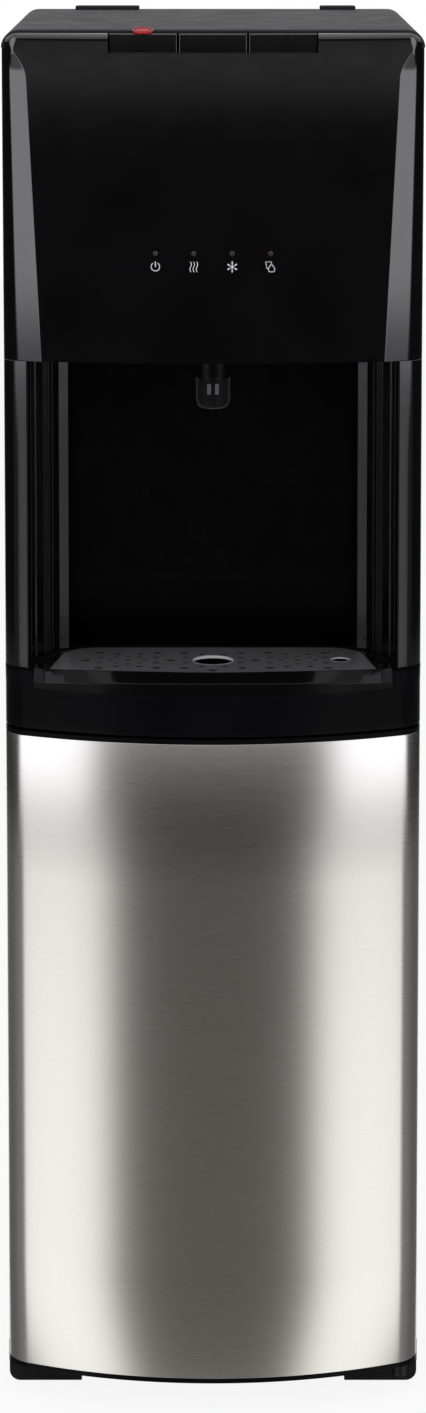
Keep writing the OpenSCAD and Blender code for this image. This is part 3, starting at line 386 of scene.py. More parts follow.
def rounded_foot(shape, side, front, rear):
    """A corner foot whose outer lower edge is round, drawn in front view and run back."""
    outer, inner, r = side * half_w, side * (half_w - foot_long), foot_round
    face = [(inner, foot_low), (outer - side * r, foot_low)]
    face += arc(outer - side * r, foot_low + r, r, -90 + 15 * side, -90 + 90 * side, 5)
    face += [(outer, base_top - 0.001), (inner, base_top - 0.001)]
    near = [shape.verts.new((x, front, z)) for x, z in face]
    far = [shape.verts.new((x, rear, z)) for x, z in face]
    shape.faces.new(near)
    shape.faces.new(far)
    for k in range(len(face)):
        n = (k + 1) % len(face)
        shape.faces.new((near[k], near[n], far[n], far[k]))


base_shape = bmesh.new()
box_part(base_shape, (-half_w + 0.0015, base_front + 0.001, base_low),
    (half_w - 0.0015, cabinet_back, base_top))
for side in (-1, 1):
    rounded_foot(base_shape, side, base_front, base_front + foot_deep)
    rounded_foot(base_shape, side, cabinet_back - foot_deep, cabinet_back)
    ears = sorted((side * (half_w + 0.0001), side * (half_w + ear_out)))
    roots = sorted((side * (half_w - 0.002), side * (half_w + ear_out)))
    box_part(base_shape, (ears[0], ear_front, ear_low), (ears[1], ear_back, ear_top))
    box_part(base_shape, (roots[0], ear_front, ear_low), (roots[1], ear_back, base_top))
pin_boss = bmesh.ops.create_cone(base_shape, cap_ends=True, segments=48, radius1=pin_boss_r,
    radius2=pin_boss_r, depth=base_top - base_low - 0.001)
bmesh.ops.translate(base_shape, verts=pin_boss["verts"],
    vec=(hinge_x, hinge_y, (base_top + base_low + 0.001) / 2))
bmesh.ops.recalc_face_normals(base_shape, faces=base_shape.faces)
base = built("base_moulding", base_shape)
round_edges(base, 0.0009, 3)
base_black = moulded("base_plastic", (0.0085, 0.0085, 0.009), (0.36, 0.46), 0.002, 0.00001, gloss=0.25)
finish_piece(base, base_black, "cabinet", ["base"])


# Foot pads: four pads of black rubber pushed into the corner feet, which keep the dispenser from
# sliding.
smooth_below = radians(36)


def facet_smoothing():
    """A node group that shades a piece smooth, apart from edges that turn sharply."""
    group = bpy.data.node_groups.new("smooth_facets", "GeometryNodeTree")
    for way in ("INPUT", "OUTPUT"):
        group.interface.new_socket("Geometry", in_out=way, socket_type="NodeSocketGeometry")
    start, end = group.nodes.new("NodeGroupInput"), group.nodes.new("NodeGroupOutput")
    turn = group.nodes.new("GeometryNodeInputMeshEdgeAngle")
    soft = group.nodes.new("FunctionNodeCompare")
    soft.operation = "LESS_THAN"
    soft.inputs[1].default_value = smooth_below
    edges = group.nodes.new("GeometryNodeSetShadeSmooth")
    edges.domain = "EDGE"
    faces = group.nodes.new("GeometryNodeSetShadeSmooth")
    group.links.new(turn.outputs[0], soft.inputs[0])
    group.links.new(start.outputs[0], edges.inputs["Geometry"])
    group.links.new(soft.outputs[0], edges.inputs["Shade Smooth"])
    group.links.new(edges.outputs[0], faces.inputs["Geometry"])
    group.links.new(faces.outputs[0], end.inputs[0])
    return group


smooth_facets = facet_smoothing()


def dress(names, material, rounding=0.0):
    """Finishes frame pieces as they stand: seams closed, facets smooth, edges a little round."""
    for name in names:
        piece = nodes[name]
        for place in piece.material_slots:
            place.material = material
        if not piece.material_slots:
            piece.data.materials.append(material)
        closed = piece.modifiers.new("closed_seams", "WELD")
        closed.merge_threshold = 0.00001
        piece.modifiers.new("smooth_facets", "NODES").node_group = smooth_facets
        if rounding:
            round_edges(piece, rounding)
        even = piece.modifiers.new("even_normals", "WEIGHTED_NORMAL")
        even.keep_sharp = True
        even.weight = 100


rubber = moulded("black_rubber", (0.014, 0.014, 0.014), (0.72, 0.86), 0.0012, 0.00003, gloss=0.25)
dress(["foot_pads"], rubber, 0.0005)

# Compressor: a black painted steel can that stands on the base on rubber grommets. It was pressed
# in two halves and welded round its middle, then dipped in paint.
def cells(tree, size, feature="F1", output="Color"):
    """A pattern of cells, as metal crystals, foam beads or solder pads have."""
    grid = pattern(tree, "ShaderNodeTexVoronoi", size)
    grid.feature = feature
    return grid.outputs[output]


def painted_steel(name, colour, rough, grain, depth):
    """Sheet steel under a powder coat: a fine pebbled skin with slow changes of sheen."""
    material, tree, shader = new_finish(name)
    tones(tree, clouds(tree, 0.09, 4), tone(colour, 0.8), tone(colour, 1.2), shader.inputs["Base Color"])
    spread(tree, clouds(tree, 0.03, 5), rough[0], rough[1], shader.inputs["Roughness"])
    relief(tree, shader, cells(tree, grain, "SMOOTH_F1", "Distance"), depth, 0.6)
    shader.inputs["Specular IOR Level"].default_value = 0.4
    return material


can_paint = painted_steel("compressor_paint", (0.012, 0.012, 0.013), (0.3, 0.42), 0.004, 0.00004)
dress(["compressor"], can_paint, 0.0008)
dress(["compressor_grommets"], rubber, 0.0004)

# Side panels and rear panel: black powder-coated sheet steel, folded and screwed to the base and
# to the rear. They carry the whole cabinet.
panel_paint = painted_steel("panel_powder_coat", (0.010, 0.010, 0.011), (0.42, 0.55), 0.0009, 0.00002)
dress(["left_side_panel", "right_side_panel", "rear_panel"], panel_paint, 0.0004)

# Bottle bay: a grey plastic liner under a galvanised steel deck. Two polished pins carry the door
# at its right side, and a small steel plate at the left holds its magnet.


def zinc_coat(name):
    """Hot-dipped zinc: flat crystals, each with its own grey and its own sheen."""
    material, tree, shader = new_finish(name)
    crystals = cells(tree, 0.007)
    tones(tree, crystals, (0.36, 0.37, 0.38, 1), (0.58, 0.60, 0.61, 1), shader.inputs["Base Color"], 0.1, 0.9)
    spread(tree, crystals, 0.32, 0.5, shader.inputs["Roughness"], 0.1, 0.9)
    relief(tree, shader, clouds(tree, 0.002, 3), 0.000012)
    shader.inputs["Metallic"].default_value = 1.0
    return material


def bare_metal(name, colour, rough, size, depth):
    """Polished or drawn metal with faint stains and fine drawing marks."""
    material, tree, shader = new_finish(name)
    tones(tree, clouds(tree, size, 4), tone(colour, 0.82), tone(colour, 1.05), shader.inputs["Base Color"])
    spread(tree, clouds(tree, size / 4, 4), rough[0], rough[1], shader.inputs["Roughness"])
    relief(tree, shader, clouds(tree, 0.0005, 3, (1, 1, 0.04)), depth)
    shader.inputs["Metallic"].default_value = 1.0
    return material


zinc = zinc_coat("galvanised_steel")
pin_steel = bare_metal("polished_steel", (0.66, 0.66, 0.66), (0.12, 0.22), 0.02, 0.000003)
liner_grey = moulded("grey_liner_plastic", (0.44, 0.44, 0.45), (0.42, 0.55), 0.0014, 0.000015, gloss=0.4,
    mottle=0.04)
dress(["bay_liner"], liner_grey)
dress(["mid_deck", "strike_plate"], zinc, 0.0003)
dress(["hinge_pins"], pin_steel, 0.0003)

# Water path: a pump draws water up the white probe tube from the bottle. The tube hangs in a clip
# while the bottle is changed, its blue cap snaps on the bottle's neck, and silicone hoses join all.
pump_plastic = moulded("pump_plastic", (0.028, 0.028, 0.030), (0.4, 0.55), 0.0012, 0.00002, gloss=0.35)
probe_white = moulded("white_plastic", (0.70, 0.70, 0.68), (0.3, 0.42), 0.0016, 0.000012, gloss=0.45,
    mottle=0.04)
cap_blue = moulded("blue_plastic", (0.03, 0.10, 0.36), (0.2, 0.3), 0.0014, 0.00001, gloss=0.5)
hose_silicone = moulded("silicone_hose", (0.62, 0.62, 0.59), (0.34, 0.46), 0.003, 0.00001, gloss=0.5)
hose_silicone.node_tree.nodes["Principled BSDF"].inputs["Subsurface Weight"].default_value = 0.2
dress(["pump"], pump_plastic, 0.0006)
dress(["probe_tube"], probe_white)
dress(["probe_cap"], cap_blue)
dress(["probe_clip"], liner_grey)
dress(["water_hoses"], hose_silicone)

# Tanks: the cold and the hot tank are drawn steel, packed in white bead foam, on a galvanised
# shelf behind the niche. Three white valves under them lead to the nozzle.
foam_white, foam_tree, foam_shader = new_finish("bead_foam")
beads = cells(foam_tree, 0.0035, "F1", "Distance")
tones(foam_tree, beads, (0.80, 0.80, 0.78, 1), (0.66, 0.66, 0.64, 1),
    foam_shader.inputs["Base Color"], 0.2, 0.7)
spread(foam_tree, clouds(foam_tree, 0.02, 3), 0.8, 0.92, foam_shader.inputs["Roughness"])
relief(foam_tree, foam_shader, beads, 0.0004)
dress(["tank_shelf"], zinc, 0.0003)
dress(["cold_tank", "hot_tank"], pin_steel)
dress(["tank_foam"], foam_white)
dress(["water_valves"], probe_white, 0.0005)

# Cooling circuit: copper lines run from the compressor through a copper drier to the black tube
# condenser, which brackets hold off the rear panel.
copper = bare_metal("copper_pipe", (0.60, 0.27, 0.14), (0.24, 0.42), 0.012, 0.000006)
wire_paint = painted_steel("condenser_paint", (0.012, 0.012, 0.012), (0.35, 0.5), 0.002, 0.00002)
dress(["refrigerant_lines", "filter_drier"], copper)
dress(["condenser"], wire_paint)
dress(["condenser_brackets"], wire_paint, 0.0003)

# Middle shell: the black moulding between the door and the cup niche. It starts with the
# door's bow, narrows to the head's plan beside the drip tray, and its well carries the tray.
door_bow_r, door_corner_r = 0.350, 0.025
door_bow_y = cabinet_front + door_bow_r
door_corner_x = half_w - door_corner_r
door_corner_y = door_bow_y - sqrt((door_bow_r - door_corner_r) ** 2 - door_corner_x ** 2)
side_seam_y = -0.1154
wall = 0.0026
shell_low, shell_high = 0.514, 0.560
shell_bend_low, shell_bend_high = 0.543, 0.556
shell_rear = -0.0716
head_front, head_bow_r = -0.168, 0.760
head_low, head_high = 0.790, 1.031
round_x, round_z, round_r = half_w - 0.013, 1.020, 0.013
slant = tan(radians(25))
crease_x, crease_lean = 0.1261, 0.0505
flank_x, flank_lean = 0.1431, 0.0235
tip_low, tip_rise = 1.000, 0.0176
tip_crease_x, tip_edge_x = 0.1457, 0.1458
side_round_y, side_round_back, side_round_rise = -0.131, 0.008, 0.24
lip_half, lip_low = 0.1335, 0.543
lip_edge = lip_half + 0.0004


def door_plan(inset=0.0, bow_steps=48, corner_steps=10):
    """The door's plan from its left side round the bowed front to its right side."""
    bend = asin(door_corner_x / (door_bow_r - door_corner_r))
    centre = (0, door_bow_y)
    half = []
    for k in range(corner_steps + 1):
        a = pi / 2 - (pi / 2 - bend) * k / corner_steps
        r = door_corner_r - inset
        half.append((door_corner_x + r * sin(a), door_corner_y - r * cos(a)))
    for k in range(1, bow_steps // 2 + 1):
        a = bend * (1 - 2 * k / bow_steps)
        r = door_bow_r - inset
        half.append((centre[0] + r * sin(a), centre[1] - r * cos(a)))
    return [(-x, y) for x, y in half[:-1]] + half[::-1]


def head_bow(x, inset=0.0):
    """How far back the head's bowed front lies at a distance from its middle."""
    r = head_bow_r - inset
    return head_front + head_bow_r - sqrt(r * r - x * x)


def head_width(z):
    """Half the width of the head, which closes in a round edge at its top."""
    if z <= round_z:
        return half_w
    return round_x + sqrt(round_r ** 2 - min(z - round_z, round_r) ** 2)


def tip_share(z):
    """0 below the flank's tip, and 1 from its upper end on."""
    return min(max((z - tip_low) / tip_rise, 0), 1)


def flank(z):
    """The inner and outer edge of the slanted flank, which leans out and runs to a point."""
    crease = crease_x + crease_lean * (z - head_low)
    edge = flank_x + flank_lean * (z - head_low)
    crease += (tip_crease_x - crease) * tip_share(z) ** 1.6
    edge += (tip_edge_x - edge) * tip_share(z) ** 2
    return crease, edge


def side_end(z):
    """Where the head's side begins behind its round corner."""
    return side_round_y - side_round_back * max(0, min((z - head_low) / side_round_rise, 1))


def corner_curve(start, z, share):
    """The soft curve from the flank's outer edge to the side, as a point at a share of it."""
    width = head_width(z)
    bend = (width, start[1] + (width - start[0]) * slant)
    end = (width, side_end(z))
    a, b, c = (1 - share) ** 2, 2 * share * (1 - share), share * share
    return tuple(a * s + b * m + c * e for s, m, e in zip(start, bend, end))


def add_skin(shape, rows, wrap=False, close_first=False, close_last=False, skip=None, flip=False):
    """Adds quads over rows of points that are equally long, with the ends closed or open."""
    grid = [[shape.verts.new(p) for p in row] for row in rows]
    across = len(rows[0])
    for r in range(len(rows) - 1):
        for c in range(across if wrap else across - 1):
            n = (c + 1) % across
            if skip and skip(rows[r][c], rows[r + 1][n]):
                continue
            quad = [grid[r][c], grid[r][n], grid[r + 1][n], grid[r + 1][c]]
            shape.faces.new(quad[::-1] if flip else quad)
    if close_first:
        shape.faces.new(grid[0][::-1])
    if close_last:
        shape.faces.new(grid[-1])


def skin(name, rows, skip=None, flip=False):
    """An open sheet over rows of points."""
    shape = bmesh.new()
    add_skin(shape, rows, skip=skip, flip=flip)
    bmesh.ops.remove_doubles(shape, verts=shape.verts, dist=0.000002)
    bmesh.ops.dissolve_degenerate(shape, edges=shape.edges, dist=0.000002)
    loose = [v for v in shape.verts if not v.link_faces]
    bmesh.ops.delete(shape, geom=loose, context="VERTS")
    return built(name, shape)


def thicken(thing, depth, even=True):
    """Gives a skin the thickness of its wall, towards its inner side."""
    shell = thing.modifiers.new("wall", "SOLIDIFY")
    shell.thickness = depth
    shell.offset = -1
    shell.use_even_offset = even
    return shell


def mesh_from(name, shape):
    """Closes a mesh that was being built, with all its faces turned outwards."""
    bmesh.ops.remove_doubles(shape, verts=shape.verts, dist=0.000002)
    bmesh.ops.recalc_face_normals(shape, faces=shape.faces)
    return built(name, shape)


def low_head_plan(z):
    """The head's plan under the niche, with as many points as the door's plan."""
    crease, edge = flank(head_low)
    half = []
    for k in range(11):
        half.append(corner_curve((edge, head_bow(crease) + (edge - crease) * slant), z, 1 - k / 10))
    half.append((crease, head_bow(crease)))
    for k in range(1, 24):
        x = crease * (1 - k / 23)
        half.append((x, head_bow(x)))
    return [(-x, y) for x, y in half[:-1]] + half[::-1]


def between(first, last, share):
    """Points at a share of the way from one line to another."""
    return [(a[0] + (b[0] - a[0]) * share, a[1] + (b[1] - a[1]) * share) for a, b in zip(first, last)]


def shell_plan(z):
    """The shell's plan at a height: the door's below, the head's above."""
    share = smooth_step(shell_bend_low, shell_bend_high, z)
    inset = 0.0
    if z < shell_low + 0.0016:
        inset = 0.0016 * (1 - sqrt(max(0, 1 - ((shell_low + 0.0016 - z) / 0.0016) ** 2)))
    plan = between(door_plan(inset), low_head_plan(z), share)
    return [(-half_w + inset, side_seam_y)] + plan + [(half_w - inset, side_seam_y)]


def grille_plan(grow, steps=14):
    """The drip grille's plan, grown or shrunk by a margin, from its front left corner round."""
    front, rear, r = 0.122 + grow, 0.115 + grow, 0.0295 + grow
    rear_y = -0.079 + grow
    inset = 0.004 - grow
    across = [-front + 2 * front * k / 36 for k in range(37)]
    points = [(x, head_bow(x, inset)) for x in across]
    points += arc(rear - r, rear_y - r, r, 0, 90, steps)
    return points + arc(r - rear, rear_y - r, r, 90, 180, steps)


def lip_zone(low, high):
    """True where the tray's lip stands in front of the shell."""
    return min(abs(low[0]), abs(high[0])) < lip_edge - 0.0001 and low[2] > lip_low - 0.0006


shell_heights = [shell_low + 0.0016 * (1 - cos(radians(15 * k))) for k in range(7)]
shell_heights += [0.519, 0.524, 0.530, 0.536, 0.5424, 0.545, 0.548, 0.551, 0.5535, 0.556, 0.558, 0.560]


def open_for_lip(plan):
    """Puts a point of the plan on each end of the lip, so that the shell ends there."""
    nearest = min(range(len(plan)), key=lambda k: abs(plan[k][0] + lip_edge))
    points = list(plan)
    for k in (nearest, len(plan) - 1 - nearest):
        side = -1 if points[k][0] < 0 else 1
        other = k - 1 if abs(points[k - 1][0]) > lip_edge else k + 1
        a, b = points[k], points[other]
        share = (side * lip_edge - a[0]) / (b[0] - a[0]) if b[0] != a[0] else 0
        points[k] = (side * lip_edge, a[1] + (b[1] - a[1]) * share)
    return points


shell_black = moulded("mid_shell_plastic", (0.0040, 0.0041, 0.0046), (0.16, 0.24), 0.004, 0.000004,
    gloss=0.03)
shell_rows = [[(x, y, z) for x, y in open_for_lip(shell_plan(z))] for z in shell_heights]
shell = skin("mid_shell_front", shell_rows, skip=lip_zone)
thicken(shell, wall, False)
round_edges(shell, 0.0004)
finish_piece(shell, shell_black, "cabinet", ["mid_shell"])

well_shape = bmesh.new()
well_top = grille_plan(0.0027)
well_low, well_front = 0.5305, -0.139
add_skin(well_shape, [[(x, y, well_low) for x, y in well_top],
    [(x, y, shell_high - 0.0002 if y > well_front else lip_low) for x, y in well_top]], wrap=True,
    close_first=True)
well = mesh_from("tray_well", well_shape)
finish_piece(well, shell_black, "cabinet", ["mid_shell"])


def deck_outline():
    """The flat top of the shell round the tray, as one line from the left side to the right."""
    plan = open_for_lip(shell_plan(shell_high))
    side_x, front_y = 0.1229, well_front - 0.0001
    left = [p for p in plan if p[0] <= -lip_edge + 0.00001]
    right = [p for p in plan if p[0] >= lip_edge - 0.00001]
    back = [p for p in well_top if p[1] > front_y]
    inner = [(side_x, front_y)] + back + [(-side_x, front_y)]
    return ([(-half_w + 0.001, shell_rear), (-half_w + 0.001, side_seam_y)] + left
        + [(-lip_edge, front_y)] + inner[::-1] + [(lip_edge, front_y)] + right
        + [(half_w - 0.001, side_seam_y), (half_w - 0.001, shell_rear)])


deck_shape = bmesh.new()
deck_shape.faces.new([deck_shape.verts.new((x, y, shell_high)) for x, y in deck_outline()])
deck_shape.normal_update()
bmesh.ops.triangulate(deck_shape, faces=deck_shape.faces)
deck_shape.normal_update()
bmesh.ops.reverse_faces(deck_shape, faces=[f for f in deck_shape.faces if f.normal.z < 0])
deck = built("mid_shell_deck", deck_shape)
thicken(deck, wall, False)
finish_piece(deck, shell_black, "cabinet", ["mid_shell"])

# Drip tray: a gloss black basin that lifts out of the shell. Its front lip has the door's bow
# and slopes down to the front, and a step inside its rim carries the grille.
tray_low, tray_floor = 0.531, 0.5332
lip_setback = 0.0006
lip_back = -0.13955
ridge_y = -0.163
lip_slope, lip_fall = tan(radians(18)), 0.21
grille_low, grille_high = 0.5571, 0.5595


def tray_top(y):
    """The tray's top, which falls towards the front from a ridge before the grille."""
    return shell_high - max(0, ridge_y - y) * lip_slope


def plan_rows(heights_and_grow):
    """The grille's plan at several heights and margins; height 0 is the tray's top."""
    rows = []
    for height, grow in heights_and_grow:
        rows.append([(x, y, height if height else tray_top(y)) for x, y in grille_plan(grow)])
    return rows


tray_shape = bmesh.new()
add_skin(tray_shape, plan_rows([(tray_low, 0.0010), (tray_low + 0.0008, 0.0018), (0.550, 0.0022),
    (0, 0.0022), (0, 0.0002), (0.5594, -0.0001), (grille_low, -0.0001), (grille_low, -0.0025),
    (tray_floor + 0.003, -0.0035), (tray_floor + 0.0008, -0.0043), (tray_floor, -0.0065)]),
    wrap=True, close_first=True, close_last=True)
tray = mesh_from("drip_tray_basin", tray_shape)
round_edges(tray, 0.0003)
finish_piece(tray, shell_black, "drip_tray", ["drip_tray"])


basin_front_x, basin_side_x = 0.1242, 0.1226
lip_black = moulded("tray_lip_plastic", (0.0034, 0.0034, 0.0038), (0.09, 0.14), 0.004, 0.000002,
    gloss=0.14)


def lip_front(x, inset=0.0):
    """How far front the bowed lip lies at a distance from its middle."""
    r = door_bow_r - lip_setback - inset
    return door_bow_y - sqrt(r * r - x * x)


def lip_section(x, back):
    """One cut through the lip: up its inside, round its front, and over its top to the basin."""
    front = lip_front(x)
    edge = tray_top(lip_front(0)) - lip_fall * (front - lip_front(0))
    top_y = back if abs(x) <= basin_front_x else front + 0.0012
    slope = atan2(tray_top(top_y) - edge, top_y - front)
    r = 0.0012
    turn = pi / 2 - slope
    start = edge - r * tan(turn / 2)
    cut = [(front + wall, lip_low), (front + 0.0008, lip_low), (front + 0.0002, lip_low + 0.0002),
        (front, lip_low + 0.0008), (front, lip_low + 0.0012), (front, start - 0.0004)]
    for share in (0, 0.25, 0.5, 0.75, 1):
        a = turn * share
        cut.append((front + r * (1 - cos(a)), start + r * sin(a)))
    y, z = cut[-1]
    for share in (0.1, 0.5, 0.9, 1):
        cut.append((y + (top_y - y) * share, z + (tray_top(top_y) - z) * share))
    cut.append((back + 0.00001, tray_top(back)))
    return cut


lip_columns = []
lip_steps = [-lip_half, -0.1325, -0.129, -basin_front_x - 0.0001]
lip_steps += [-basin_front_x + 2 * basin_front_x * k / 40 for k in range(41)]
lip_steps += [basin_front_x + 0.0001, 0.129, 0.1325, lip_half]
for x in lip_steps:
    back = head_bow(x, 0.0018) if abs(x) <= basin_front_x else lip_back
    section = lip_section(x, back)
    row = [(x, y, z) for y, z in section]
    if abs(x) > basin_front_x and abs(x) < 0.1250:
        row[-1] = (basin_side_x if x > 0 else -basin_side_x, back, tray_top(back))
    lip_columns.append(row)
lip = skin("drip_tray_lip", lip_columns, flip=True)
thicken(lip, 0.0022)
round_edges(lip, 0.0006, 3)
finish_piece(lip, lip_black, "drip_tray", ["drip_tray"])

# Drip grille: a satin grey plate that lies in the tray's rim. A large drain hole sits under the
# nozzle, with three flowers of punched holes and a finger hole at the right to lift it by.
drain_y = -0.1228
flower_pitch = 0.0636
punched_edge = 0.0005
hole_narrow, hole_wide, hole_large = 0.0034, 0.0046, 0.0062
inner_ring, middle_ring, outer_ring = 0.0128, 0.0225, 0.0335
drain_d, finger_d, finger_back = 0.031, 0.015, 0.002
turn_steps = 64


def poly_line(curve, points, closed=False):
    """Adds a line of straight steps to a curve."""
    line = curve.splines.new("POLY")
    line.points.add(len(points) - 1)
    for point, place in zip(line.points, points):
        point.co = (*place, 1)
    line.use_cyclic_u = closed


def curve_mesh(curve):
    """The mesh that a curve makes, without the curve."""
    drawn = put_in_scene(curve.name, curve)
    mesh = bpy.data.meshes.new_from_object(drawn.evaluated_get(bpy.context.evaluated_depsgraph_get()))
    bpy.data.objects.remove(drawn)
    return mesh


def disc_line(curve, x, y, diameter, steps=28):
    """The outline of a round hole."""
    turns = [2 * pi * k / steps for k in range(steps)]
    poly_line(curve, [(x + diameter / 2 * cos(a), y + diameter / 2 * sin(a), 0) for a in turns], True)


def ring_of_holes(curve, x, radius, angles, diameter):
    """Equal holes at some angles of a ring."""
    for a in map(radians, angles):
        disc_line(curve, x + radius * cos(a), drain_y + radius * sin(a), diameter)


def flower(curve, x, full):
    """Rings of small holes round a point of the grille."""
    if full:
        disc_line(curve, x, drain_y, hole_wide)
        ring_of_holes(curve, x, inner_ring, range(0, 360, 45), hole_narrow)
    ring_of_holes(curve, x, middle_ring, [22.5 + 45 * k for k in range(8)], hole_wide)
    ring_of_holes(curve, x, outer_ring, (50, 130, 230, 310), hole_large)


def punched_plate():
    """The plate and its holes as one flat outline, given its thickness and rounded edges."""
    curve = bpy.data.curves.new("grille_lines", "CURVE")
    curve.dimensions = "2D"
    curve.fill_mode = "BOTH"
    poly_line(curve, [(x, y, 0) for x, y in grille_plan(-0.0004)], True)
    disc_line(curve, 0, drain_y, drain_d, 64)
    flower(curve, 0, False)
    for side in (-1, 1):
        flower(curve, side * flower_pitch, True)
        disc_line(curve, side * flower_pitch / 2, drain_y, hole_large)
    disc_line(curve, -flower_pitch * 1.5, drain_y, hole_large)
    disc_line(curve, flower_pitch * 1.5, drain_y + finger_back, finger_d, 40)
    disc_line(curve, 0, drain_y - outer_ring, hole_large)
    curve.extrude = (grille_high - grille_low) / 2 - punched_edge
    curve.bevel_depth = punched_edge
    curve.bevel_resolution = 2
    curve.offset = -punched_edge
    mesh = curve_mesh(curve)
    mesh.transform(Matrix.Translation((0, 0, (grille_low + grille_high) / 2)))
    mesh.name = "drip_grille_plate"
    return put_in_scene("drip_grille_plate", mesh)


def punched_grey():
    """Satin grey plastic with painted shade: grey only where it faces straight up, darker on its rounded
    edges and near black down the walls of its holes.
    """
    material, tree, shader = new_finish("grille_grey_plastic")
    facing = tree.nodes.new("ShaderNodeNewGeometry")
    parts = tree.nodes.new("ShaderNodeSeparateXYZ")
    # Painted shade: the colour follows how far the surface faces up, so the edges and the hole walls come out
    # dark.
    painted_facing_shade = tree.nodes.new("ShaderNodeValToRGB")
    steps = painted_facing_shade.color_ramp.elements
    steps[0].position, steps[0].color = 0.2, (0.004, 0.004, 0.004, 1)
    steps[1].position, steps[1].color = 0.5, (0.008, 0.008, 0.008, 1)
    for place, level in ((0.9, 0.03), (0.99, 0.13)):
        step = steps.new(place)
        step.color = (level, level, level * 1.03, 1)
    mottle = tree.nodes.new("ShaderNodeMix")
    mottle.data_type = "RGBA"
    mottle.blend_type = "MULTIPLY"
    mottle.inputs["Factor"].default_value = 1
    tree.links.new(facing.outputs["Normal"], parts.inputs[0])
    tree.links.new(parts.outputs["Z"], painted_facing_shade.inputs["Fac"])
    tree.links.new(painted_facing_shade.outputs["Color"], mottle.inputs["A"])
    tones(tree, clouds(tree, 0.02), (0.88, 0.88, 0.88, 1), (1, 1, 1, 1), mottle.inputs["B"])
    tree.links.new(mottle.outputs["Result"], shader.inputs["Base Color"])
    spread(tree, clouds(tree, 0.006, 4), 0.34, 0.44, shader.inputs["Roughness"])
    relief(tree, shader, clouds(tree, 0.0009, 2), 0.00001)
    shader.inputs["Specular IOR Level"].default_value = 0.5
    return material


grille_grey = punched_grey()
grille = punched_plate()
finish_piece(grille, grille_grey, "drip_grille", ["drip_grille"])


def turned(name, section, x=0.0, y=drain_y):
    """A piece turned about an upright axis from a closed section of radius and height."""
    rows = []
    for k in range(turn_steps + 1):
        a = 2 * pi * k / turn_steps
        rows.append([(x + r * cos(a), y + r * sin(a), z) for r, z in section + section[:1]])
    shape = bmesh.new()
    add_skin(shape, rows)
    return mesh_from(name, shape)


def rim_ring(name, x, y, outer):
    """The turned rim of a large hole, whose near white inner wall is a painted highlight."""
    inner = outer - 0.0004
    low, high = grille_high - outer * 0.13, grille_high + 0.00005
    return turned(name, [(inner, low), (outer, low), (outer, high), (inner + 0.0001, high),
        (inner, high - 0.0001)], x, y)


# Painted highlight: the rims of the drain and finger holes are near white to stand for their glint.
rim_painted_glint = moulded("grille_rim_painted_glint", (0.72, 0.72, 0.72), (0.2, 0.3), 0.001, 0.000003, gloss=0.6)
for name, x, y, outer in (("drain_hole_rim", 0.0, drain_y, drain_d / 2),
        ("finger_hole_rim", flower_pitch * 1.5, drain_y + finger_back, finger_d / 2)):
    finish_piece(rim_ring(name, x, y, outer), rim_painted_glint, "drip_grille",
        ["drip_grille"])

# Cup niche: a gloss black liner with a coved top corner, and a stepped trim with upright fins on
# each inner side, clipped in between the front pillars and the back wall.
niche_half, niche_back_y, niche_top = 0.137, -0.069, 0.796
niche_front_y, cove = -0.12655, 0.006
trim_low = shell_high + 0.0004
trim_sheet = 0.0012


def niche_section():
    """The liner from the front of its ceiling over the cove and down its back."""
    cut = [(niche_front_y, niche_top), (niche_back_y - cove, niche_top)]
    cut += arc(niche_back_y - cove, niche_top - cove, cove, 75, 0, 5)
    return cut + [(niche_back_y, 0.70), (niche_back_y, 0.62), (niche_back_y, trim_low)]


liner_black = moulded("niche_liner_plastic", (0.0028, 0.0028, 0.003), (0.2, 0.3), 0.003, 0.000005,
    gloss=0.1)
trim_black = moulded("fin_trim_plastic", (0.0032, 0.0032, 0.0036), (0.1, 0.16), 0.003, 0.000004,
    gloss=0.5)
liner_rows = [[(x, y, z) for y, z in niche_section()]
    for x in (-niche_half, -0.10, -0.06, -0.02, 0.02, 0.06, 0.10, niche_half)]
liner = skin("niche_liner_wall", liner_rows)
thicken(liner, wall)
finish_piece(liner, liner_black, "cabinet", ["niche_liner"])

fin_steps = [(0.05, 0), (0.14, 0.13), (0.18, 0.13), (0.365, 0.35), (0.43, 0.35), (0.48, 0.44),
    (0.58, 0.44), (0.72, 0.63), (0.985, 0.7), (1, 1)]
for side, name in ((-1, "left_fin_trim"), (1, "right_fin_trim")):
    start_y, run = -0.12555, 0.05615
    line = [(side * (niche_half - 0.0285 * s), start_y + run * t) for s, t in fin_steps]
    rows = [[(x, y, z) for x, y in line] for z in (trim_low, 0.64, 0.72, niche_top - 0.0004)]
    fins = skin(name + "_strip", rows, flip=side > 0)
    thicken(fins, trim_sheet)
    round_edges(fins, 0.0007, 3, 14)
    finish_piece(fins, trim_black, "cabinet", [name], 20)

# Front pillars: a narrow gloss black moulding each side of the niche, with a slanted strip in
# front, a soft outer corner, and a return into the niche. They stand on the middle shell.
pillar_low, pillar_high = shell_high + 0.0004, head_low - 0.0004
pillar_inner, pillar_edge = 0.1362, 0.1430


def pillar_plan(side):
    """The pillar's plan from its return in the niche round its front to the side."""
    crease = flank(head_low)[0]
    front = head_bow(crease) + (pillar_inner - crease) * slant
    line = [(pillar_inner + 0.0012, -0.1275), (pillar_inner + 0.0004, -0.138),
        (pillar_inner, -0.146), (pillar_inner, front + 0.0016), (pillar_inner + 0.0005, front + 0.0006),
        (pillar_inner + 0.0014, front + 0.0014 * slant)]
    outer = (pillar_edge, head_bow(crease) + (pillar_edge - crease) * slant)
    line.append(((pillar_inner + pillar_edge) / 2, (front + outer[1]) / 2))
    line.append(outer)
    for k in range(1, 13):
        line.append(corner_curve(outer, head_low, k / 12))
    line += [(half_w, -0.124), (half_w, side_seam_y)]
    return [(side * x, y) for x, y in line]


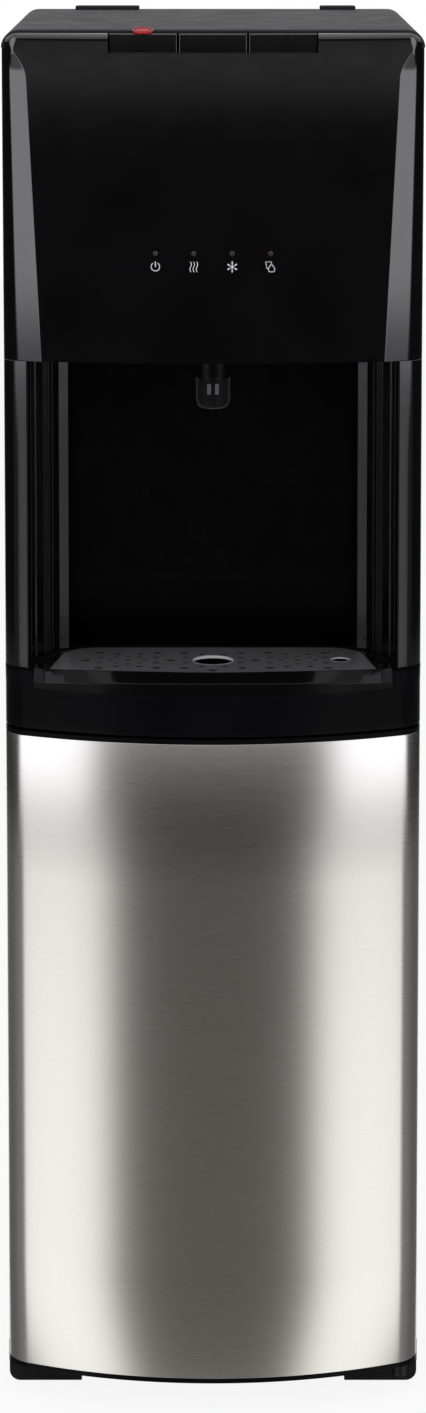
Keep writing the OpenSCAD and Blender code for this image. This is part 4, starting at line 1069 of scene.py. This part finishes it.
for side, name in ((-1, "left_pillar"), (1, "right_pillar")):
    levels = [pillar_low, 0.58, 0.62, 0.66, 0.70, 0.74, 0.77, pillar_high]
    rows = [[(x, y, z) for x, y in pillar_plan(side)] for z in levels]
    pillar = skin(name + "_post", rows, flip=side < 0)
    thicken(pillar, 0.0022)
    round_edges(pillar, 0.0004)
    finish_piece(pillar, gloss_black, "cabinet", [name])

# Nozzle: one black outlet under a flared collar in the niche's ceiling. Both are turned shapes.
# The outlet has a bore, a rounded mouth and two small ribs in front, whose light grey is a painted highlight.
nozzle_black = moulded("nozzle_plastic", (0.006, 0.0062, 0.0066), (0.34, 0.44), 0.002, 0.000006,
    gloss=0.04)
nozzle_shader = nozzle_black.node_tree.nodes["Principled BSDF"]
nozzle_shader.inputs["Sheen Weight"].default_value = 0.3
nozzle_shader.inputs["Sheen Roughness"].default_value = 0.38
nozzle = turned("nozzle_outlet_tube", [(0.0060, 0.8175), (0.0060, 0.7520), (0.0066, 0.7512),
    (0.0078, 0.7510), (0.0092, 0.7514), (0.0107, 0.7524), (0.0118, 0.7542), (0.0124, 0.7566),
    (0.0126, 0.7595), (0.0126, 0.7960), (0.0080, 0.7961), (0.0080, 0.8175)])
finish_piece(nozzle, nozzle_black, "cabinet", ["nozzle"])
collar = turned("nozzle_collar_ring", [(0.01265, 0.7742), (0.0130, 0.7740), (0.0132, 0.7744),
    (0.0133, 0.7752), (0.0136, 0.7810), (0.0142, 0.7865), (0.0152, 0.7905), (0.0168, 0.7938),
    (0.0190, 0.7956), (0.0200, 0.7960), (0.01265, 0.7960)])
finish_piece(collar, liner_black, "cabinet", ["nozzle_collar"])

# Painted highlight: the two ribs are light grey to stand for two bright marks on the black outlet.
rib_painted_highlight = moulded("nozzle_rib_painted_highlight", (0.10, 0.10, 0.105), (0.2, 0.3), 0.001, 0.000004, gloss=0.5)
for side, name in ((-1, "left_nozzle_rib"), (1, "right_nozzle_rib")):
    rib_shape = bmesh.new()
    box_part(rib_shape, (side * 0.0029 - 0.0015, drain_y - 0.0129, 0.7622), (side * 0.0029 + 0.0015,
        drain_y - 0.0110, 0.7705))
    rib = mesh_from(name, rib_shape)
    round_edges(rib, 0.0007, 3)
    finish_piece(rib, rib_painted_highlight, "cabinet", ["nozzle"])

# Front fascia: one gloss black moulding with a bowed front, slanted flanks that lean out and run
# to a point, a round rim, and a narrow ledge along its top. A notch in the ledge holds the push
# buttons.
ledge_y = -0.148
ledge_round = 0.0034
notch_half, notch_low = 0.07645, 1.017
corner_z = head_high - round_r
bow_slope, rim_slope = 0.19, 0.62


def front_half_width(z):
    """Half the width of the front, whose top corners are round."""
    if z <= corner_z:
        return half_w
    return round_x + sqrt(max(round_r ** 2 - (z - corner_z) ** 2, 0))


def front_depth(x, z):
    """The front's y at a point: its bow, its slanted flank, and the round rim along its outline."""
    crease, edge = flank(z)
    lean = slant + (bow_slope - slant) * tip_share(z) ** 6
    corner = head_bow(crease) + (edge - crease) * lean
    y = head_bow(min(x, crease)) + max(0, min(x, edge) - crease) * lean + max(0, x - edge) * rim_slope
    wide, deep = half_w - edge, side_end(z) - corner - (half_w - edge) * rim_slope
    inside, share = half_w - x, 0.0
    if z > corner_z:
        share = 1.0
        inside = head_high - z
        if x > round_x:
            share = smooth_step(0, pi / 4, atan2(z - corner_z, x - round_x))
            inside = round_r - hypot(x - round_x, z - corner_z)
    wide += (ledge_round - wide) * share
    deep += (ledge_round - deep) * share
    if inside < wide:
        y += deep * (1 - sqrt(max(1 - (1 - max(inside, 0) / wide) ** 2, 0)))
    return min(y, ledge_y) if z > round_z else y


def front_row(z):
    """One level of the front, from its left outline to its right one."""
    crease, edge = flank(z)
    across = [notch_half * k / 10 for k in range(11)]
    across += [notch_half + (crease - notch_half) * s for s in (0.2, 0.4, 0.6, 0.8, 0.95, 0.988, 0.996)]
    across += [crease + (edge - crease) * s for s in (0.02, 0.06, 0.5, 0.94, 1)]
    across += [edge + (half_w - edge) * sin(radians(a)) for a in (10, 20, 30, 40, 50, 60, 70, 80, 90)]
    squeeze = (front_half_width(z) - notch_half) / (half_w - notch_half)
    across = [notch_half + (x - notch_half) * squeeze if x > notch_half else x for x in across]
    points = [(x, front_depth(x, z), z) for x in across]
    return [(-x, y, h) for x, y, h in points[:0:-1]] + points


def over_notch(low, high):
    """True where the notch for the buttons is open."""
    return low[2] >= notch_low - 0.00001 and max(abs(low[0]), abs(high[0])) <= notch_half + 0.00001


fascia_levels = [0.790, 0.7915, 0.80, 0.82, 0.84, 0.86, 0.88, 0.90, 0.92, 0.94, 0.96, 0.98, 0.99,
    1.000, 1.003, 1.006, 1.009, 1.012, 1.0145, notch_low, corner_z, round_z]
fascia_levels += [corner_z + round_r * sin(radians(a)) for a in (18, 27, 36, 45, 54, 63, 72, 81, 90)]
front_rows = [front_row(z) for z in fascia_levels]
fascia = skin("front_fascia_face", front_rows, skip=over_notch)
upper = [row for row, z in zip(front_rows, fascia_levels) if z >= round_z]
rim = [row[0] for row in upper[:-1]] + upper[-1] + [row[-1] for row in upper[-2::-1]]
ledge_rows = [rim, [(x, max(y, ledge_y), z) for x, y, z in rim]]
parts = [skin("fascia_ledge", ledge_rows, skip=over_notch)]
for side in (-1, 1):
    rows = []
    for row, z in zip(front_rows, fascia_levels):
        if z <= round_z:
            x, y, z = row[-1]
            rows.append([(side * x, y, z), (side * x, -0.125, z), (side * x, side_seam_y, z)])
    parts.append(skin("fascia_cheek", rows, flip=side < 0))
bpy.ops.object.select_all(action="DESELECT")
for part in parts + [fascia]:
    part.select_set(True)
bpy.context.view_layer.objects.active = fascia
bpy.ops.object.join()
seams = bmesh.new()
seams.from_mesh(fascia.data)
bmesh.ops.remove_doubles(seams, verts=seams.verts, dist=0.00001)
seams.to_mesh(fascia.data)
seams.free()
thicken(fascia, wall, False)
round_edges(fascia, 0.0004)
finish_piece(fascia, gloss_black, "cabinet", ["front_fascia"], 35)

# Controls: a black carrier behind the front holds three micro switches under the button stems and
# their steel springs, and the green control board with the indicator lamps.
satin_black = moulded("satin_black_plastic", (0.026, 0.026, 0.028), (0.42, 0.55), 0.0012, 0.000012,
    gloss=0.35)
board_green, board_tree, board_shader = new_finish("circuit_board")
traces = cells(board_tree, 0.006, "DISTANCE_TO_EDGE", "Distance")
tones(board_tree, traces, (0.03, 0.20, 0.07, 1), (0.012, 0.10, 0.035, 1), board_shader.inputs["Base Color"],
    0.03, 0.06)
spread(board_tree, traces, 0.25, 0.4, board_shader.inputs["Roughness"], 0.02, 0.08)
relief(board_tree, board_shader, traces, 0.00003)
dress(["button_carrier"], satin_black, 0.0004)
dress(["micro_switches"], pump_plastic, 0.0005)
dress(["control_board"], board_green, 0.0002)

button_pitch, stem_y = 0.0509, -0.15655
spring_low, spring_high, spring_r, wire_r = 0.99755, 1.02865, 0.0040, 0.0004
spring_turns, button_travel = 11, 0.004


def coil_spring(name, x):
    """A compression spring of round wire with closed end turns."""
    rows = []
    last = spring_turns * 22
    closed = 2 * wire_r
    free = (spring_high - spring_low - 2 * wire_r - 2 * closed) / (spring_turns - 2)
    for k in range(last + 1):
        turn = k / 22
        rise = closed * min(turn, 1) + free * min(max(turn - 1, 0), spring_turns - 2)
        rise += closed * max(turn - spring_turns + 1, 0)
        a = 2 * pi * turn
        ring = []
        for n in range(8):
            b = 2 * pi * n / 8
            r = spring_r + wire_r * cos(b)
            ring.append((x + r * cos(a), stem_y + r * sin(a),
                spring_low + wire_r + rise + wire_r * sin(b)))
        rows.append(ring)
    shape = bmesh.new()
    add_skin(shape, rows, wrap=True, close_first=True, close_last=True)
    return mesh_from(name + "_coil", shape)


for index, word in ((-1, "hot"), (0, "room"), (1, "cold")):
    coil = coil_spring(word + "_spring", index * button_pitch)
    finish_piece(coil, pin_steel, "cabinet", [word + "_spring"], 50)
    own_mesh(coil)

# Top cover: one satin dark moulding that closes the head, with long rounded edges, a small front
# radius where it meets the ledge, and two low raised pads at its back edge.
cover_front, cover_top = ledge_y + 0.0004, 1.033
cover_wall, edge_r = 0.0026, 0.0014
pad_rise, pad_deep = 0.003, 0.014


def cover_section(inset=0.0):
    """The cover in front view, from its left lower edge over its top to its right one."""
    line = [(-half_w + inset, round_z)] + arc(-round_x, round_z, round_r - inset, 180, 90, 12)
    line += [(-round_x + 2 * round_x * k / 16, cover_top - inset) for k in range(1, 16)]
    return line + arc(round_x, round_z, round_r - inset, 90, 0, 12) + [(half_w - inset, round_z)]


def rounded_end(y, inward):
    """Rows of the cover's section that round an end, from its face inwards."""
    rows = []
    for a in (0, 30, 60, 90):
        back = y + inward * edge_r * (1 - cos(radians(a)))
        rows.append([(x, back, z) for x, z in cover_section(edge_r * (1 - sin(radians(a))))])
    return rows


cover_rows = rounded_end(cover_front, 1)
for y in (-0.12, -0.06, 0.0, 0.06, 0.12, 0.16):
    cover_rows.append([(x, y, z) for x, z in cover_section()])
cover_rows += rounded_end(cabinet_back, -1)[::-1]
cover_rows.insert(0, [(x * 0.985, cover_front, min(z, cover_top - 0.0045)) for x, z in cover_section(edge_r)])
cover_rows.append([(x * 0.96, cabinet_back, min(z, round_z + 0.0002)) for x, z in cover_section(edge_r)])
cover = skin("top_cover_shell", cover_rows)
thicken(cover, cover_wall)
cover_satin = moulded("top_cover_plastic", (0.026, 0.0255, 0.029), (0.5, 0.62), 0.0012, 0.000014,
    gloss=0.08, mottle=0.07)
finish_piece(cover, cover_satin, "cabinet", ["top_cover"])
for low_x, high_x, name in ((-0.112, -0.060, "left_rear_pad"), (0.087, 0.116, "right_rear_pad")):
    pad_shape = bmesh.new()
    box_part(pad_shape, (low_x, cabinet_back - pad_deep, cover_top - 0.0005),
        (high_x, cabinet_back, cover_top + pad_rise))
    pad = mesh_from(name, pad_shape)
    round_edges(pad, 0.0012, 4)
    finish_piece(pad, cover_satin, "cabinet", ["top_cover"])

# Push buttons: three gloss black caps side by side in the ledge's notch, each with a stem that
# stands in its spring. They follow the bow behind the front's wall, and go down behind it.
button_w = 0.0495
button_low, button_high = 1.012, 1.031
button_recess, button_lean = 0.0029, 0.0004
stem_r, stem_low = 0.0025, 0.989
button_wall = 0.0016


def button_cap(name, middle):
    """A hollow cap, open below, whose front follows the bow."""
    shape = bmesh.new()
    plan = []
    for k in range(13):
        x = middle - button_w / 2 + button_w * k / 12
        plan.append((x, head_bow(x, button_recess)))
    plan += [(middle + button_w / 2, ledge_y - 0.0004), (middle - button_w / 2, ledge_y - 0.0004)]
    lean = [(x, min(y + button_lean, ledge_y - 0.0004)) for x, y in plan]
    add_skin(shape, [[(x, y, button_low) for x, y in lean], [(x, y, button_high) for x, y in plan]],
        wrap=True, close_last=True)
    cap = mesh_from(name + "_cap", shape)
    thicken(cap, button_wall)
    round_edges(cap, 0.0011, 4)
    return cap


for index, name in ((-1, "hot_button"), (0, "room_button"), (1, "cold_button")):
    middle = index * button_pitch
    finish_piece(button_cap(name, middle), gloss_black, name, [name])
    stem = turned(name + "_stem", [(0.00001, stem_low), (stem_r - 0.0004, stem_low),
        (stem_r, stem_low + 0.0004), (stem_r, button_high - 0.001), (0.00001, button_high - 0.001)],
        middle, stem_y)
    finish_piece(stem, gloss_black, name, [name])

# Child lock: a red slider on the hot button, turned with a raised rim and a dished middle.
lock_x, lock_y, lock_z = -button_pitch, -0.15985, 1.0311
lock_tilt = radians(12.5)
lock_r, lock_rise = 0.0075, 0.0004
red_gloss = moulded("red_plastic", (0.42, 0.008, 0.014), (0.25, 0.35), 0.003, 0.000004, gloss=0.25)


def sloping_disc(name, section, floor):
    """A disc turned about an axis that leans to the front, with a wall down to the button."""
    rows = []
    for k in range(turn_steps + 1):
        a = 2 * pi * k / turn_steps
        row = []
        for r, h in section:
            y = r * sin(a) * cos(lock_tilt) - h * sin(lock_tilt)
            z = (r * sin(a) + lock_r) * sin(lock_tilt) + h * cos(lock_tilt)
            row.append((lock_x + r * cos(a), lock_y + y, lock_z + lock_rise + z))
        wall_x, wall_y = row[0][0], row[0][1]
        rows.append([(lock_x, lock_y, floor), (wall_x, wall_y, floor)] + row)
    shape = bmesh.new()
    add_skin(shape, rows)
    return mesh_from(name, shape)


lock = sloping_disc("child_lock_slider", [(0.0071, 0.0), (0.0075, 0.0002), (0.0075, 0.0005),
    (0.0072, 0.0008), (0.0067, 0.0008), (0.0064, 0.0004), (0.0064, -0.0001), (0.00001, -0.0001)], lock_z)
finish_piece(lock, red_gloss, "child_lock", ["child_lock"])
lock_middle = sloping_disc("child_lock_middle", [(0.0052, -0.0002), (0.0052, 0.0003), (0.0047, 0.0007),
    (0.0036, 0.0009), (0.0028, 0.0006), (0.0015, 0.0004), (0.00001, 0.0004)], lock_z + 0.0002)
finish_piece(lock_middle, red_gloss, "child_lock", ["child_lock"])
# Painted shade: a black disc over the floor of the red slider's groove makes the groove read as a dark ring.
lock_groove_shade = sloping_disc("child_lock_groove_painted_shade", [(0.00645, -0.0002), (0.00645, 0.00005),
    (0.00001, 0.00005)], lock_z + 0.0001)
finish_piece(lock_groove_shade, gloss_black, "child_lock", ["child_lock"])

# Indicator lights: four small domed lenses in the fascia, each over a printed white symbol: on,
# heating, cooling, and bottle empty.
lens_z, lens_pitch, lens_r = 0.871, 0.028, 0.002
print_line, print_z = 0.00055, 0.8613
lens_tints = [(0.002, 0.026, 0.014), (0.012, 0.011, 0.011), (0.007, 0.013, 0.010), (0.026, 0.002, 0.005)]


def tinted_lens(name, colour):
    """Clear tinted plastic over an unlit lamp."""
    material, tree, shader = new_finish(name)
    tones(tree, clouds(tree, 0.0012, 2), tone(colour, 0.5), tone(colour, 1.3),
        shader.inputs["Base Color"])
    spread(tree, clouds(tree, 0.002, 2), 0.06, 0.14, shader.inputs["Roughness"])
    shader.inputs["Specular IOR Level"].default_value = 0.5
    return material


for k, (tint, name) in enumerate(zip(lens_tints, ("power", "heating", "cooling", "bottle"))):
    x = (k - 1.5) * lens_pitch
    dome = [(0.00001, -0.0006), (0.0008, -0.00052), (0.0014, -0.0003), (0.0018, 0.0), (lens_r, 0.0004),
        (lens_r, 0.012), (0.00001, 0.012)]
    rows = []
    for t in range(25):
        a = 2 * pi * t / 24
        rows.append([(x + r * cos(a), head_bow(x) + d, lens_z + r * sin(a)) for r, d in dome])
    shape = bmesh.new()
    add_skin(shape, rows)
    lens = mesh_from(name + "_lens", shape)
    finish_piece(lens, tinted_lens(name + "_lens_tint", tint), "cabinet",
        ["indicator_lenses"])


def printed(name, middle, lines):
    """A symbol printed on the bowed front from lines across and up its middle."""
    curve = bpy.data.curves.new(name + "_lines", "CURVE")
    curve.dimensions = "3D"
    curve.bevel_depth = print_line / 2
    curve.bevel_resolution = 1
    curve.use_fill_caps = True
    for line in lines:
        poly_line(curve, [(middle + x, 0, print_z + z) for x, z in line])
    mesh = curve_mesh(curve)
    for vertex in mesh.vertices:
        vertex.co.y = head_bow(vertex.co.x) + vertex.co.y * 0.1
    mesh.name = name
    return put_in_scene(name, mesh)


def snow_lines():
    """Three lines through the middle, each with a short bar near both ends."""
    lines = []
    for k in range(3):
        a = radians(90 + 60 * k)
        out, aside = (cos(a), sin(a)), (-sin(a), cos(a))
        lines.append([(out[0] * r, out[1] * r) for r in (-0.0042, 0, 0.0042)])
        for r in (-0.0030, 0.0030):
            lines.append([(out[0] * r + aside[0] * w, out[1] * r + aside[1] * w)
                for w in (-0.0007, 0.0007)])
    return lines


wave = [(0.0007 * sin(2 * pi * k / 20) + 0.0006 * (k / 20 - 0.5), 0.0038 - 0.0076 * k / 20)
    for k in range(21)]
symbol_lines = {
    "power_symbol": [arc(0, 0, 0.0031, 122, 418, 28), [(0, 0.0039), (0, -0.0002)]],
    "heating_symbol": [[(x + shift, z) for x, z in wave] for shift in (-0.0023, 0, 0.0023)],
    "cooling_symbol": snow_lines(),
    "bottle_symbol": [[(-0.0016, -0.0012), (-0.0030, -0.0012), (-0.0030, 0.0020), (-0.0036, 0.0020),
        (-0.0036, 0.0036), (0.0006, 0.0036), (0.0006, 0.0020)], [(-0.0003, 0.0014), (0.0017, 0.0014),
        (0.0017, 0.0004), (0.0029, -0.0008), (0.0029, -0.0030), (0.0022, -0.0037), (-0.0008, -0.0037),
        (-0.0015, -0.0030), (-0.0015, -0.0008), (-0.0003, 0.0004), (-0.0003, 0.0014)]],
}
print_white = moulded("white_print", (0.84, 0.84, 0.85), (0.4, 0.5), 0.0006, 0.000004, gloss=0.3)
for k, (name, lines) in enumerate(symbol_lines.items()):
    symbol = printed(name, (k - 1.5) * lens_pitch, lines)
    finish_piece(symbol, print_white, "cabinet")

# Door: a bowed skin of brushed stainless steel, hemmed over two black end caps. A grey inner
# panel closes it, and bosses on its caps turn on two hinge pins at its right side.
skin_low, skin_high = 0.0245, 0.509
cap_low, cap_high = 0.021, 0.5125
boss_low, boss_high = 0.035, 0.4985
boss_bore, boss_r = 0.00305, 0.0065
door_back, cap_back = -0.1164, -0.12187


def brushed_steel(name):
    """Stainless steel with a fine level grain, which stretches reflections upwards."""
    material, tree, shader = new_finish(name)
    shader.inputs["Metallic"].default_value = 1.0
    shader.inputs["Anisotropic"].default_value = 0.55
    shader.inputs["Anisotropic Rotation"].default_value = 0.25
    along = tree.nodes.new("ShaderNodeTangent")
    along.direction_type = "RADIAL"
    along.axis = "Z"
    tree.links.new(along.outputs[0], shader.inputs["Tangent"])
    grain = clouds(tree, 0.0005, 3, (0.012, 0.012, 1))
    tones(tree, grain, (0.56, 0.545, 0.52, 1), (0.575, 0.56, 0.535, 1), shader.inputs["Base Color"])
    spread(tree, grain, 0.27, 0.29, shader.inputs["Roughness"])
    relief(tree, shader, grain, 0.00000012)
    return material


steel = brushed_steel("brushed_steel")
skin_rows = []
for z, inset in ((skin_low, 0.0006), (skin_low + 0.0002, 0.0002), (skin_low + 0.0006, 0.0), (0.10, 0.0),
        (0.20, 0.0), (0.30, 0.0), (0.40, 0.0), (skin_high - 0.0006, 0.0), (skin_high - 0.0002, 0.0002),
        (skin_high, 0.0006)):
    plan = door_plan(inset, 72, 14)
    plan = [(-half_w + inset, door_back)] + plan + [(half_w - inset, door_back)]
    skin_rows.append([(x, y, z) for x, y in plan])
door = skin("door_steel_skin", skin_rows)
thicken(door, 0.0008)
finish_piece(door, steel, "door", ["door_skin"])


def end_cap(name, low, high):
    """A door end cap: a plate with the door's plan."""
    plan = door_plan(0.0, 48, 10)
    line = [(-half_w, door_back)] + plan + [(half_w, door_back), (half_w - wall, door_back),
        (half_w - wall, cap_back), (-half_w + wall, cap_back), (-half_w + wall, door_back)]
    shape = bmesh.new()
    add_skin(shape, [[(x, y, low) for x, y in line], [(x, y, high) for x, y in line]], wrap=True,
        close_first=True, close_last=True)
    bmesh.ops.triangulate(shape, faces=[f for f in shape.faces if len(f.verts) > 4])
    cap = mesh_from(name, shape)
    round_edges(cap, 0.0006, 3, 50)
    return cap


for name, low, high in (("door_top_cap", skin_high, cap_high), ("door_bottom_cap", cap_low, skin_low)):
    cap = end_cap(name + "_plate", low, high)
    finish_piece(cap, shell_black, "door", [name])

for name, low, high in (("door_top_hinge_boss", boss_high, skin_high),
        ("door_bottom_hinge_boss", skin_low, boss_low)):
    boss = turned(name, [(boss_bore, low), (boss_r - 0.0003, low), (boss_r, low + 0.0003),
        (boss_r, high - 0.0003), (boss_r - 0.0003, high), (boss_bore, high)], hinge_x, door_corner_y)
    finish_piece(boss, gloss_black, "door", [name.replace("hinge_boss", "cap")])
dress(["door_liner"], liner_grey, 0.0004)
dress(["door_magnet"], rubber, 0.0004)

# Rear: the power box with its gland, two rocker switches in their housings, the drain with its
# screwed cap, and the screws that hold the panels.
rocker_red = moulded("red_plastic_rocker", (0.42, 0.012, 0.016), (0.15, 0.25), 0.002, 0.000006, gloss=0.5)
rocker_green = moulded("green_plastic_rocker", (0.02, 0.20, 0.06), (0.15, 0.25), 0.002, 0.000006, gloss=0.5)
dress(["power_box", "switch_housings"], satin_black, 0.0005)
dress(["hot_rocker"], rocker_red, 0.0004)
dress(["cold_rocker"], rocker_green, 0.0004)
dress(["drain_spigot", "drain_cap"], satin_black, 0.0003)
dress(["panel_screws"], zinc)
